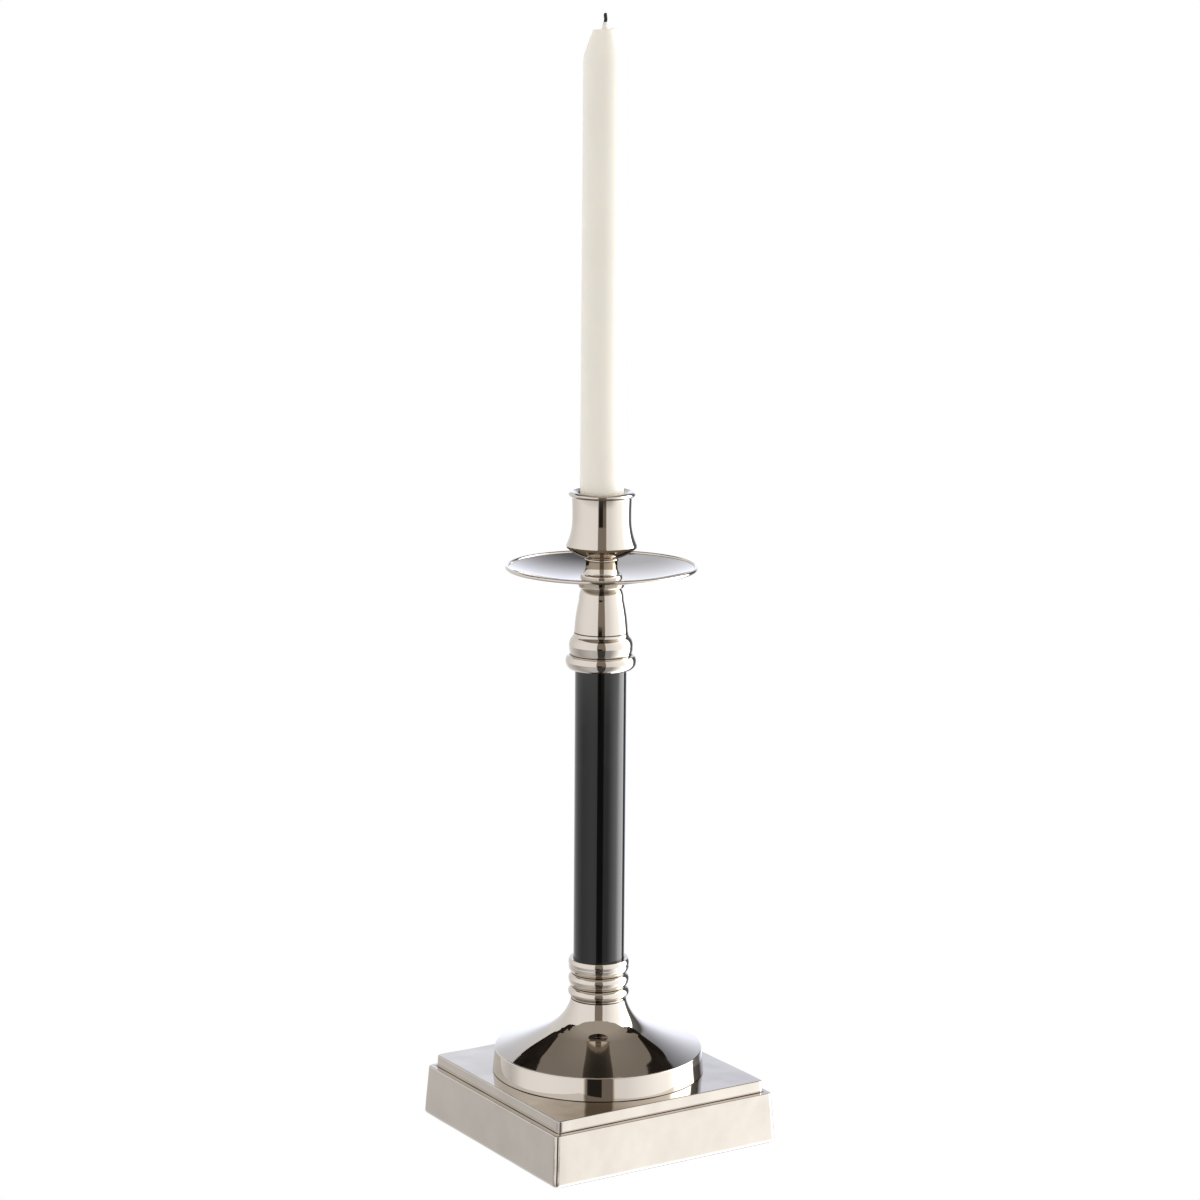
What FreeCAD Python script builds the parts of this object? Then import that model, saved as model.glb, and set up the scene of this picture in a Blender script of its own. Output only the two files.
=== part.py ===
"""Table candlestick on a square plinth, with a black column and a removable dinner candle.

The metal pieces are threaded like beads on one long tie rod: plinth, foot, ring collar, column,
bell collar, drip pan and stem, with the candle cup screwed on the rod's top end. +Z is up and the
origin is the centre of the felt's underside, where the candlestick stands on the table.
"""
import FreeCAD, Part
import math
import os
import Sketcher

DOC_NAME = "Candlestick"
SHEET_NAME = "Dims"

# Driving dimensions in millimetres, angles in degrees. A "level" is a height above the table.
DIMENSIONS = {
    # Felt pad and the board that closes the plinth
    "felt_half": 59.8, "felt_thickness": 1.2, "board_thickness": 3.0, "board_corner": 2.0,
    # Plinth: a drafted square block with a smaller square step on top, cast hollow
    "plinth_level": 0.4, "plinth_half": 66.45, "plinth_block": 26.6, "plinth_draft": 4.0,
    "step_half": 61.2, "step_height": 6.07, "step_draft": 2.3, "plinth_corner": 1.6,
    "plinth_edge": 0.9, "cavity_half": 60.2, "cavity_depth": 22.2, "step_cavity_half": 56.2,
    "top_plate": 4.4, "cavity_corner": 3.0, "boss_offset": 52.0, "boss_radius": 4.6,
    "boss_hole_depth": 9.0, "ring_inner": 47.4, "ring_outer": 50.6, "ring_rise": 1.5,
    # Board screws
    "screw_radius": 1.5, "screw_head": 3.0, "screw_head_depth": 1.5, "screw_length": 9.0,
    # Ballast and the tie rod's fastening
    "ballast_radius": 46.0, "ballast_thickness": 12.0, "rod_radius": 3.0, "rod_clearance": 3.3,
    "rod_bottom": 7.6, "rod_top": 304.2, "washer_radius": 9.0, "washer_thickness": 1.6,
    "lock_washer_radius": 5.9, "lock_washer_turn": 352.0, "nut_corner": 5.77, "nut_height": 5.0,
    # Foot: an upright band, a sloping dome and a concave sweep up to the neck
    "foot_level": 33.07, "band_bottom": 54.17, "band_top": 53.07, "band_level": 44.3,
    "band_edge": 0.7, "slope_outer": 52.4, "slope_outer_level": 45.05, "slope_inner": 26.6,
    "slope_inner_level": 55.2, "sweep_radius": 20.0, "neck_radius": 14.16, "neck_level": 70.7,
    "band_inner": 50.9, "band_inner_level": 43.2, "foot_inner": 25.4, "foot_inner_level": 52.8,
    "foot_inner_sweep": 22.0, "neck_inner": 10.9, "neck_shelf": 65.4, "spigot_radius": 8.95,
    "spigot_length": 3.0, "spigot_hole": 9.0,
    # Three-ring collar under the column
    "ring3_foot": 13.9, "ring3_max": 15.7, "ring3_level": 73.95, "groove3": 13.8,
    "groove3_level": 77.2, "ring2_max": 15.55, "ring2_level": 80.8, "groove2": 13.75,
    "groove2_level": 84.2, "ring1_max": 15.5, "ring1_level": 88.6, "ring1_lip": 14.9,
    "ring1_top": 92.0, "ring_curve": 4.6, "ring_lip_curve": 3.4, "ring_base_rise": 1.0,
    # Column tube and its end bushes
    "column_radius": 13.0, "column_inner": 11.5, "column_bottom": 86.2, "column_top": 253.2,
    "socket_radius": 13.05, "bush_length": 10.0,
    # Bell collar above the column
    "bell_bottom": 242.65, "bell_foot": 16.4, "bell_low_max": 17.84, "bell_low_level": 245.6,
    "bell_low_top": 17.1, "bell_low_top_level": 249.2, "bell_mid_foot": 15.5,
    "bell_mid_foot_level": 249.8, "bell_mid_max": 16.14, "bell_mid_level": 253.6,
    "bell_mid_top": 14.7, "bell_mid_top_level": 258.7, "bell_waist": 13.6,
    "bell_waist_level": 261.0, "bell_neck": 11.3, "bell_neck_level": 277.6, "bell_top": 9.9,
    "bell_top_level": 283.6, "bell_low_curve": 4.2, "bell_low_curve_top": 5.6,
    "bell_mid_curve": 9.0, "bell_mid_curve_top": 7.0, "bell_waist_curve": 3.4,
    "bell_side_curve": 90.0, "bell_neck_curve": 12.0,
    # Seat under the drip pan
    "seat_radius": 11.2, "seat_thickness": 2.6, "seat_edge": 1.2,
    # Drip pan: a thin spun dish with a rolled edge
    "pan_thickness": 1.0, "pan_flat": 14.0, "pan_curve": 110.0, "pan_rim": 48.4,
    "pan_rim_level": 293.9, "pan_roll": 1.0,
    # Baluster stem between pan and cup
    "stem_foot": 9.4, "stem_bead": 10.4, "stem_bead_level": 289.1, "stem_bead_curve": 1.5,
    "stem_bead_top": 9.2, "stem_bead_top_level": 290.7, "stem_waist": 7.9,
    "stem_waist_level": 294.3, "stem_waist_curve": 6.0, "stem_ring_foot": 7.9,
    "stem_ring_level": 297.1, "stem_ring_curve": 0.9, "stem_top": 8.2, "stem_top_level": 298.6,
    # Candle cup
    "cup_under": 12.9, "cup_under_level": 300.5, "cup_under_curve": 26.0, "cup_swell": 17.3,
    "cup_swell_level": 303.7, "cup_swell_curve": 30.0, "cup_max": 17.9, "cup_max_level": 305.2,
    "cup_max_curve": 2.2, "cup_waist": 14.9, "cup_waist_level": 318.2, "cup_side_curve": 30.0,
    "cup_waist_top": 323.2, "cup_neck": 15.1, "cup_neck_level": 329.5, "cup_bead": 16.85,
    "cup_bead_level": 330.85, "cup_bead_curve": 1.45, "cup_lip": 14.9, "cup_lip_level": 332.2,
    "cup_lip_curve": 2.0, "cup_mouth": 13.3, "cup_mouth_level": 331.4, "cup_mouth_curve": 4.4,
    "socket_bore": 11.4, "socket_lip_level": 327.8, "socket_floor": 305.7,
    # Dinner candle and its wick
    "candle_gap": 0.1, "candle_radius": 11.0, "candle_chamfer": 0.8, "candle_shoulder": 10.64,
    "candle_shoulder_level": 543.2, "candle_turn": 9.98, "candle_turn_level": 547.0,
    "candle_turn_curve": 12.0, "candle_tip": 6.3, "candle_tip_level": 557.5,
    "candle_tip_edge": 5.3, "candle_tip_curve": 1.1, "candle_top_level": 558.6,
    "wax_cone": 1.9, "wax_cone_top": 1.15, "wax_cone_level": 561.8, "wick_radius": 0.95,
    "wick_top": 566.3,
}

SUBPARTS = []


def make_sheet(doc):
    """Put every driving dimension in one sheet, each in a cell with its own alias."""
    sheet = doc.addObject("Spreadsheet::Sheet", SHEET_NAME)
    for row, (alias, value) in enumerate(DIMENSIONS.items(), start=1):
        sheet.set("A%d" % row, alias.replace("_", " "))
        sheet.set("B%d" % row, str(value))
        sheet.setAlias("B%d" % row, alias)
    doc.recompute()
    return sheet


def amount(formula):
    """The value of a sum such as "foot_level + ring_rise", in millimetres."""
    total = 0.0
    sign = 1.0
    for word in formula.split():
        if word in ("+", "-"):
            sign = 1.0 if word == "+" else -1.0
        else:
            total += sign * DIMENSIONS[word]
    return total


def bound(formula):
    """The same sum as an expression on the sheet's cells."""
    words = [word if word in ("+", "-") else "%s.%s" % (SHEET_NAME, word)
             for word in formula.split()]
    return " ".join(words)


def origin_plane(body, role):
    """The body's own origin plane or axis with this role."""
    return next(item for item in body.Origin.OriginFeatures if item.Role == role)


def new_body(doc, name):
    """A body that becomes the sub-part of this name."""
    body = doc.addObject("PartDesign::Body", name)
    body.Label = name
    SUBPARTS.append(body)
    return body


def new_sketch(body, name, plane, level=None):
    """A sketch on one of the body's origin planes, raised to a level if one is given."""
    sketch = body.newObject("Sketcher::SketchObject", name)
    sketch.AttachmentSupport = [(origin_plane(body, plane), "")]
    sketch.MapMode = "FlatFace"
    if level:
        sketch.AttachmentOffset = FreeCAD.Placement(
            FreeCAD.Vector(0, 0, amount(level)), FreeCAD.Rotation())
        sketch.setExpression("AttachmentOffset.Base.z", bound(level))
    return sketch


def bind(sketch, constraint, formula):
    """Add a dimension to a sketch and tie it to the sheet."""
    index = sketch.addConstraint(constraint)
    sketch.setExpression("Constraints[%d]" % index, bound(formula))


def arc_between(start, end, bend, radius):
    """The short arc of this radius from start to end that turns left or right on the way."""
    chord = end - start
    middle = (start + end) * 0.5
    side = FreeCAD.Vector(-chord.y, chord.x, 0).normalize()
    reach = math.sqrt(max(radius ** 2 - (chord.Length / 2) ** 2, 0.0))
    centre = middle + side * (reach if bend == "left" else -reach)
    first, last = (start, end) if bend == "left" else (end, start)
    circle = Part.Circle(centre, FreeCAD.Vector(0, 0, 1), radius)
    angles = [math.atan2(point.y - centre.y, point.x - centre.x) for point in (first, last)]
    return Part.ArcOfCircle(circle, angles[0], angles[1])


def draw_outline(sketch, outline):
    """Draw a closed outline. A corner is (radius, level), and it is reached by a straight line,
    or by an arc where (radius, level, "left" or "right", arc radius) is given."""
    points = [FreeCAD.Vector(amount(corner[0]) if corner[0] else 0, amount(corner[1]), 0)
              for corner in outline]
    ends = []
    for index, corner in enumerate(outline):
        start = points[index - 1]
        end = points[index]
        if len(corner) == 2:
            edge = sketch.addGeometry(Part.LineSegment(start, end))
            ends.append((edge, 1, 2))
        else:
            bend, radius = corner[2], corner[3]
            edge = sketch.addGeometry(arc_between(start, end, bend, amount(radius)))
            ends.append((edge, 1, 2) if bend == "left" else (edge, 2, 1))
    for index, corner in enumerate(outline):
        edge, _, last = ends[index]
        after, first, _ = ends[(index + 1) % len(ends)]
        sketch.addConstraint(Sketcher.Constraint("Coincident", edge, last, after, first))
        if corner[0]:
            bind(sketch, Sketcher.Constraint("DistanceX", -1, 1, edge, last, points[index].x),
                 corner[0])
        else:
            sketch.addConstraint(Sketcher.Constraint("PointOnObject", edge, last, -2))
        bind(sketch, Sketcher.Constraint("DistanceY", -1, 1, edge, last, points[index].y),
             corner[1])
        if len(corner) == 4:
            bind(sketch, Sketcher.Constraint("Radius", edge, amount(corner[3])), corner[3])


def revolve(body, sketch, name, turn=None):
    """Revolve a sketch about its upright axis, all the way round unless a turn is given."""
    revolution = body.newObject("PartDesign::Revolution", name)
    revolution.Profile = sketch
    revolution.ReferenceAxis = (sketch, ["V_Axis"])
    revolution.Angle = 360
    if turn:
        revolution.setExpression("Angle", bound(turn))
    return revolution


def turned(doc, name, outline, turn=None):
    """A piece turned on a lathe from one closed outline of (radius, level) corners."""
    body = new_body(doc, name)
    sketch = new_sketch(body, name + "_outline", "XZ_Plane")
    draw_outline(sketch, outline)
    revolve(body, sketch, name + "_turned", turn)
    return body


def ring(doc, name, inner, outer, bottom, top, turn=None):
    """A plain round ring or disc."""
    return turned(doc, name, [(inner, bottom), (outer, bottom), (outer, top), (inner, top)], turn)


def draw_square(sketch, half):
    """A square about the sketch's origin, with its half side bound to the sheet."""
    side = amount(half)
    corners = [FreeCAD.Vector(x * side, y * side, 0) for x, y in ((-1, -1), (1, -1), (1, 1), (-1, 1))]
    for index, corner in enumerate(corners):
        sketch.addGeometry(Part.LineSegment(corner, corners[(index + 1) % 4]))
    for index in range(4):
        direction = "Horizontal" if index % 2 == 0 else "Vertical"
        sketch.addConstraint(Sketcher.Constraint(direction, index))
        sketch.addConstraint(Sketcher.Constraint("Coincident", index, 2, (index + 1) % 4, 1))
    bind(sketch, Sketcher.Constraint("DistanceX", -1, 1, 1, 2, side), half)
    bind(sketch, Sketcher.Constraint("DistanceY", -1, 1, 1, 2, side), half)
    bind(sketch, Sketcher.Constraint("DistanceX", 3, 2, -1, 1, side), half)
    bind(sketch, Sketcher.Constraint("DistanceY", 3, 2, -1, 1, side), half)


def draw_corner_circles(sketch, offset, radius):
    """Four equal circles, one near each corner of the plinth."""
    place = amount(offset)
    for x, y in ((-1, -1), (1, -1), (1, 1), (-1, 1)):
        centre = FreeCAD.Vector(x * place, y * place, 0)
        circle = sketch.addGeometry(Part.Circle(centre, FreeCAD.Vector(0, 0, 1), amount(radius)))
        across = ((-1, 1, circle, 3) if x > 0 else (circle, 3, -1, 1)) + (place,)
        along = ((-1, 1, circle, 3) if y > 0 else (circle, 3, -1, 1)) + (place,)
        bind(sketch, Sketcher.Constraint("DistanceX", *across), offset)
        bind(sketch, Sketcher.Constraint("DistanceY", *along), offset)
        bind(sketch, Sketcher.Constraint("Radius", circle, amount(radius)), radius)


def draw_circle(sketch, radius):
    """A circle about the sketch's origin."""
    circle = sketch.addGeometry(
        Part.Circle(FreeCAD.Vector(), FreeCAD.Vector(0, 0, 1), amount(radius)))
    sketch.addConstraint(Sketcher.Constraint("Coincident", circle, 3, -1, 1))
    bind(sketch, Sketcher.Constraint("Radius", circle, amount(radius)), radius)


def extrude(body, kind, sketch, name, length, draft=None, down=False):
    """Pad or pocket a sketch by a bound length, with an inward draft if one is given."""
    feature = body.newObject("PartDesign::" + kind, name)
    feature.Profile = sketch
    feature.setExpression("Length", bound(length))
    feature.Reversed = down
    if draft:
        feature.setExpression("TaperAngle", "-" + bound(draft))
    return feature


def edge_names(shape, wanted):
    """Names of the edges whose bounding box answers to a test."""
    return ["Edge%d" % (index + 1) for index, edge in enumerate(shape.Edges)
            if wanted(edge.BoundBox)]


def round_edges(doc, body, name, radius, wanted):
    """Fillet the edges of the body's latest feature that answer to a test."""
    doc.recompute()
    base = body.Tip
    fillet = body.newObject("PartDesign::Fillet", name)
    fillet.Base = (base, edge_names(base.Shape, wanted))
    fillet.setExpression("Radius", bound(radius))
    return fillet


def upright(height):
    """A test for corner edges at least this tall."""
    return lambda box: box.ZLength > height


def level_at(level, reach):
    """A test for straight edges at one level that lie this far out or more."""
    return lambda box: (abs(box.ZMin - level) < 0.02 and box.ZLength < 0.02
                        and max(box.XMax, -box.XMin, box.YMax, -box.YMin) > reach)


def hole_rim(box):
    """A test for the lower rims of the screw holes."""
    return (abs(box.ZMax - amount("felt_thickness")) < 0.01
            and abs(box.XLength - 2 * amount("screw_radius")) < 0.05
            and abs(box.YLength - 2 * amount("screw_radius")) < 0.05)


def square_sheet(doc, name, bottom, thickness, bored=False):
    """A flat square sheet with rounded corners, countersunk for the board screws if bored."""
    body = new_body(doc, name)
    sketch = new_sketch(body, name + "_outline", "XY_Plane", bottom)
    draw_square(sketch, "felt_half")
    extrude(body, "Pad", sketch, name + "_sheet", thickness)
    round_edges(doc, body, name + "_corners", "board_corner", upright(1.0))
    if bored:
        doc.recompute()
        holes = new_sketch(body, "screw_holes", "XY_Plane", "felt_thickness")
        draw_corner_circles(holes, "boss_offset", "screw_radius")
        extrude(body, "Pocket", holes, "screw_bores", thickness, down=True)
        doc.recompute()
        base = body.Tip
        chamfer = body.newObject("PartDesign::Chamfer", "screw_countersinks")
        chamfer.Base = (base, edge_names(base.Shape, hole_rim))
        chamfer.setExpression("Size", bound("screw_head_depth"))
    return body


def make_screws(doc):
    """Four countersunk wood screws that hold the board to the plinth's corner bosses."""
    body = new_body(doc, "board_screws")
    sketch = new_sketch(body, "screw_outline", "XZ_Plane")
    place = amount("boss_offset")
    sketch.AttachmentOffset = FreeCAD.Placement(
        FreeCAD.Vector(place, 0, place), FreeCAD.Rotation())
    sketch.setExpression("AttachmentOffset.Base.x", bound("boss_offset"))
    sketch.setExpression("AttachmentOffset.Base.z", bound("boss_offset"))
    shoulder = "felt_thickness + screw_head_depth"
    tip = "felt_thickness + screw_length"
    draw_outline(sketch, [(None, "felt_thickness"), ("screw_head", "felt_thickness"),
                          ("screw_radius", shoulder), ("screw_radius", tip), (None, tip)])
    screw = revolve(body, sketch, "screw_turned")
    doc.recompute()
    pattern = body.newObject("PartDesign::PolarPattern", "screw_pattern")
    pattern.Originals = [screw]
    pattern.Axis = (origin_plane(body, "Z_Axis"), [""])
    pattern.Angle = 360
    pattern.Occurrences = 4
    body.Tip = pattern
    return body


def make_plinth(doc):
    """The hollow plinth: block, step, locating ring, cavity, bosses and the hole for the rod."""
    body = new_body(doc, "plinth")
    block = new_sketch(body, "block_outline", "XY_Plane", "plinth_level")
    draw_square(block, "plinth_half")
    extrude(body, "Pad", block, "block", "plinth_block", "plinth_draft")
    step = new_sketch(body, "step_outline", "XY_Plane", "plinth_level + plinth_block")
    draw_square(step, "step_half")
    extrude(body, "Pad", step, "step", "step_height", "step_draft")
    round_edges(doc, body, "upright_corners", "plinth_corner", upright(3.0))
    ledge = amount("plinth_level + plinth_block")
    top = amount("plinth_level + plinth_block + step_height")
    reach = amount("step_half") + 1.0
    round_edges(doc, body, "block_edge", "plinth_edge", level_at(ledge, reach))
    round_edges(doc, body, "step_edge", "plinth_edge", level_at(top, 1.0))
    round_edges(doc, body, "bottom_edge", "plinth_edge", level_at(amount("plinth_level"), reach))

    cavity = new_sketch(body, "cavity_outline", "XY_Plane", "plinth_level")
    draw_square(cavity, "cavity_half")
    extrude(body, "Pocket", cavity, "cavity", "cavity_depth", down=True)
    upper = new_sketch(body, "upper_cavity_outline", "XY_Plane", "plinth_level + cavity_depth")
    draw_square(upper, "step_cavity_half")
    depth = "plinth_block + step_height - cavity_depth - top_plate"
    extrude(body, "Pocket", upper, "upper_cavity", depth, down=True)

    board_top = "felt_thickness + board_thickness"
    bosses = new_sketch(body, "boss_outline", "XY_Plane", board_top)
    draw_corner_circles(bosses, "boss_offset", "boss_radius")
    height = "foot_level - top_plate - felt_thickness - board_thickness"
    extrude(body, "Pad", bosses, "bosses", height)
    boss_holes = new_sketch(body, "boss_hole_outline", "XY_Plane", board_top)
    draw_corner_circles(boss_holes, "boss_offset", "screw_radius")
    extrude(body, "Pocket", boss_holes, "boss_holes", "boss_hole_depth", down=True)

    seat = new_sketch(body, "locating_ring_outline", "XY_Plane", "foot_level")
    draw_circle(seat, "ring_outer")
    draw_circle(seat, "ring_inner")
    extrude(body, "Pad", seat, "locating_ring", "ring_rise")
    hole = new_sketch(body, "rod_hole_outline", "XY_Plane", "foot_level")
    draw_circle(hole, "rod_clearance")
    extrude(body, "Pocket", hole, "rod_hole", "top_plate")
    return body


def make_ballast_and_rod(doc):
    """The iron ballast under the plinth's top plate, and the rod with its nut and washers."""
    ballast_top = "foot_level - top_plate"
    ballast_bottom = ballast_top + " - ballast_thickness"
    washer_bottom = ballast_bottom + " - washer_thickness"
    lock_bottom = washer_bottom + " - washer_thickness"
    nut_bottom = lock_bottom + " - nut_height"
    ring(doc, "ballast_disc", "rod_clearance", "ballast_radius", ballast_bottom, ballast_top)
    ring(doc, "rod_washer", "rod_clearance", "washer_radius", washer_bottom, ballast_bottom)
    ring(doc, "lock_washer", "rod_clearance", "lock_washer_radius", lock_bottom, washer_bottom,
         turn="lock_washer_turn")
    make_nut(doc, nut_bottom)
    ring(doc, "tie_rod", None, "rod_radius", "rod_bottom", "rod_top")


def make_nut(doc, bottom):
    """The hexagon nut, as a prism bored for the rod."""
    prism = doc.addObject("Part::Prism", "nut_prism")
    prism.Polygon = 6
    prism.setExpression("Circumradius", bound("nut_corner"))
    prism.setExpression("Height", bound("nut_height"))
    bore = doc.addObject("Part::Cylinder", "nut_bore")
    bore.setExpression("Radius", bound("rod_radius"))
    bore.setExpression("Height", bound("nut_height"))
    nut = doc.addObject("Part::Cut", "rod_nut")
    nut.Label = "rod_nut"
    nut.Base = prism
    nut.Tool = bore
    nut.setExpression("Placement.Base.z", bound(bottom))
    SUBPARTS.append(nut)


def make_foot(doc):
    """The hollow foot: upright band, straight slope and concave sweep to the neck."""
    turned(doc, "foot_dome", [
        ("band_inner", "foot_level"),
        ("band_bottom", "foot_level"),
        ("band_top", "band_level"),
        ("slope_outer", "slope_outer_level", "left", "band_edge"),
        ("slope_inner", "slope_inner_level"),
        ("neck_radius", "neck_level", "right", "sweep_radius"),
        ("spigot_hole", "neck_level"),
        ("spigot_hole", "neck_shelf"),
        ("neck_inner", "neck_shelf"),
        ("foot_inner", "foot_inner_level", "left", "foot_inner_sweep"),
        ("band_inner", "band_inner_level"),
    ])


def make_ring_collar(doc):
    """Three rounded rings, each tapering into the groove below, with a socket for the column."""
    turned(doc, "ring_collar", [
        ("rod_clearance", "neck_level - spigot_length"),
        ("spigot_radius", "neck_level - spigot_length"),
        ("spigot_radius", "neck_level"),
        ("ring3_foot", "neck_level"),
        ("ring3_foot", "neck_level + ring_base_rise"),
        ("ring3_max", "ring3_level", "left", "ring_lip_curve"),
        ("groove3", "groove3_level", "left", "ring_lip_curve"),
        ("ring2_max", "ring2_level", "left", "ring_curve"),
        ("groove2", "groove2_level", "left", "ring_lip_curve"),
        ("ring1_max", "ring1_level", "left", "ring_curve"),
        ("ring1_lip", "ring1_top", "left", "ring_curve"),
        ("socket_radius", "ring1_top"),
        ("socket_radius", "column_bottom"),
        ("rod_clearance", "column_bottom"),
    ])


def make_column(doc):
    """The black tube, centred on the rod by a bush in each end."""
    ring(doc, "column_tube", "column_inner", "column_radius", "column_bottom", "column_top")
    ring(doc, "lower_bush", "rod_clearance", "column_inner", "column_bottom",
         "column_bottom + bush_length")
    ring(doc, "upper_bush", "rod_clearance", "column_inner", "column_top - bush_length",
         "column_top")


def make_bell_collar(doc):
    """The bell collar: two rounded steps and a slender neck, bored for the column's top end."""
    turned(doc, "bell_collar", [
        ("socket_radius", "bell_bottom"),
        ("bell_foot", "bell_bottom"),
        ("bell_low_max", "bell_low_level", "left", "bell_low_curve"),
        ("bell_low_top", "bell_low_top_level", "left", "bell_low_curve_top"),
        ("bell_mid_foot", "bell_mid_foot_level"),
        ("bell_mid_max", "bell_mid_level", "left", "bell_mid_curve"),
        ("bell_mid_top", "bell_mid_top_level", "left", "bell_mid_curve_top"),
        ("bell_waist", "bell_waist_level", "right", "bell_waist_curve"),
        ("bell_neck", "bell_neck_level", "left", "bell_side_curve"),
        ("bell_top", "bell_top_level", "left", "bell_neck_curve"),
        ("rod_clearance", "bell_top_level"),
        ("rod_clearance", "column_top"),
        ("socket_radius", "column_top"),
    ])


def make_pan(doc):
    """The drip pan, a dished sheet with a rolled edge, and the turned seat under it."""
    turned(doc, "pan_seat", [
        ("rod_clearance", "bell_top_level"),
        ("seat_radius - seat_edge", "bell_top_level"),
        ("seat_radius", "bell_top_level + seat_edge", "left", "seat_edge"),
        ("seat_radius", "bell_top_level + seat_thickness"),
        ("rod_clearance", "bell_top_level + seat_thickness"),
    ])
    under = "bell_top_level + seat_thickness"
    turned(doc, "drip_pan", [
        ("rod_clearance", under),
        ("pan_flat", under),
        ("pan_rim - pan_roll", "pan_rim_level - pan_roll", "left", "pan_curve"),
        ("pan_rim", "pan_rim_level", "left", "pan_roll"),
        ("pan_rim - pan_roll", "pan_rim_level + pan_roll", "left", "pan_roll"),
        ("pan_rim - pan_roll - pan_roll", "pan_rim_level", "left", "pan_roll"),
        ("pan_flat", under + " + pan_thickness", "right", "pan_curve"),
        ("rod_clearance", under + " + pan_thickness"),
    ])


def make_stem(doc):
    """The small baluster between the pan and the cup."""
    foot = "bell_top_level + seat_thickness + pan_thickness"
    turned(doc, "cup_stem", [
        ("rod_clearance", foot),
        ("stem_foot", foot),
        ("stem_bead", "stem_bead_level", "left", "stem_bead_curve"),
        ("stem_bead_top", "stem_bead_top_level", "left", "stem_bead_curve"),
        ("stem_waist", "stem_waist_level", "right", "stem_waist_curve"),
        ("stem_ring_foot", "stem_ring_level"),
        ("stem_top", "stem_top_level", "left", "stem_ring_curve"),
        ("rod_clearance", "stem_top_level"),
    ])


def make_cup(doc):
    """The candle cup, with a beaded mouth, a round socket and a blind thread for the rod."""
    turned(doc, "candle_cup", [
        ("rod_radius", "stem_top_level"),
        ("stem_top", "stem_top_level"),
        ("cup_under", "cup_under_level", "left", "cup_under_curve"),
        ("cup_swell", "cup_swell_level", "left", "cup_swell_curve"),
        ("cup_max", "cup_max_level", "left", "cup_max_curve"),
        ("cup_waist", "cup_waist_level", "right", "cup_side_curve"),
        ("cup_waist", "cup_waist_top"),
        ("cup_neck", "cup_neck_level"),
        ("cup_bead", "cup_bead_level", "left", "cup_bead_curve"),
        ("cup_lip", "cup_lip_level", "left", "cup_lip_curve"),
        ("cup_mouth", "cup_mouth_level"),
        ("socket_bore", "socket_lip_level", "left", "cup_mouth_curve"),
        ("socket_bore", "socket_floor"),
        (None, "socket_floor"),
        (None, "rod_top"),
        ("rod_radius", "rod_top"),
    ])


def make_candle(doc):
    """The dinner candle: wax cast round a wick that runs its whole length."""
    base = "socket_floor + candle_gap"
    turned(doc, "candle_wax", [
        ("wick_radius", base),
        ("candle_radius - candle_chamfer", base),
        ("candle_radius", base + " + candle_chamfer"),
        ("candle_radius", "cup_lip_level"),
        ("candle_shoulder", "candle_shoulder_level"),
        ("candle_turn", "candle_turn_level", "left", "candle_turn_curve"),
        ("candle_tip", "candle_tip_level"),
        ("candle_tip_edge", "candle_top_level", "left", "candle_tip_curve"),
        ("wax_cone", "candle_top_level"),
        ("wax_cone_top", "wax_cone_level"),
        ("wick_radius", "wax_cone_level"),
    ])
    ring(doc, "candle_wick", None, "wick_radius", base, "wick_top")


def check(doc):
    """Stop on any object that failed, and on any sub-part whose shape is missing or broken."""
    for item in doc.Objects:
        failed = [state for state in item.State if state in ("Invalid", "Error")]
        if failed:
            raise RuntimeError("%s is %s" % (item.Name, failed))
    for part in SUBPARTS:
        if part.Shape.isNull() or not part.Shape.isValid():
            raise RuntimeError("%s has no valid shape" % part.Label)


def export():
    """Write each sub-part to its own file."""
    os.makedirs("parts", exist_ok=True)
    for part in SUBPARTS:
        part.Shape.exportStep("parts/%s.step" % part.Label)


def main():
    doc = FreeCAD.newDocument(DOC_NAME)
    make_sheet(doc)
    square_sheet(doc, "felt_pad", None, "felt_thickness")
    square_sheet(doc, "base_board", "felt_thickness", "board_thickness", bored=True)
    make_screws(doc)
    make_plinth(doc)
    make_ballast_and_rod(doc)
    make_foot(doc)
    make_ring_collar(doc)
    make_column(doc)
    make_bell_collar(doc)
    make_pan(doc)
    make_stem(doc)
    make_cup(doc)
    make_candle(doc)
    doc.recompute()
    check(doc)
    export()


main()
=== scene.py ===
"""Plinth candlestick: a nickel-plated stick with a black lacquered column and a dinner candle.

The metal pieces are turned from outlines in millimetres, each fitted to its part's own box, so
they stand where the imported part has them. +Z is up and the table's top is at level 0.
"""
import math

import bmesh
import bpy
from bpy.props import FloatProperty, FloatVectorProperty, IntProperty, PointerProperty
from mathutils import Matrix, Vector


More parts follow.
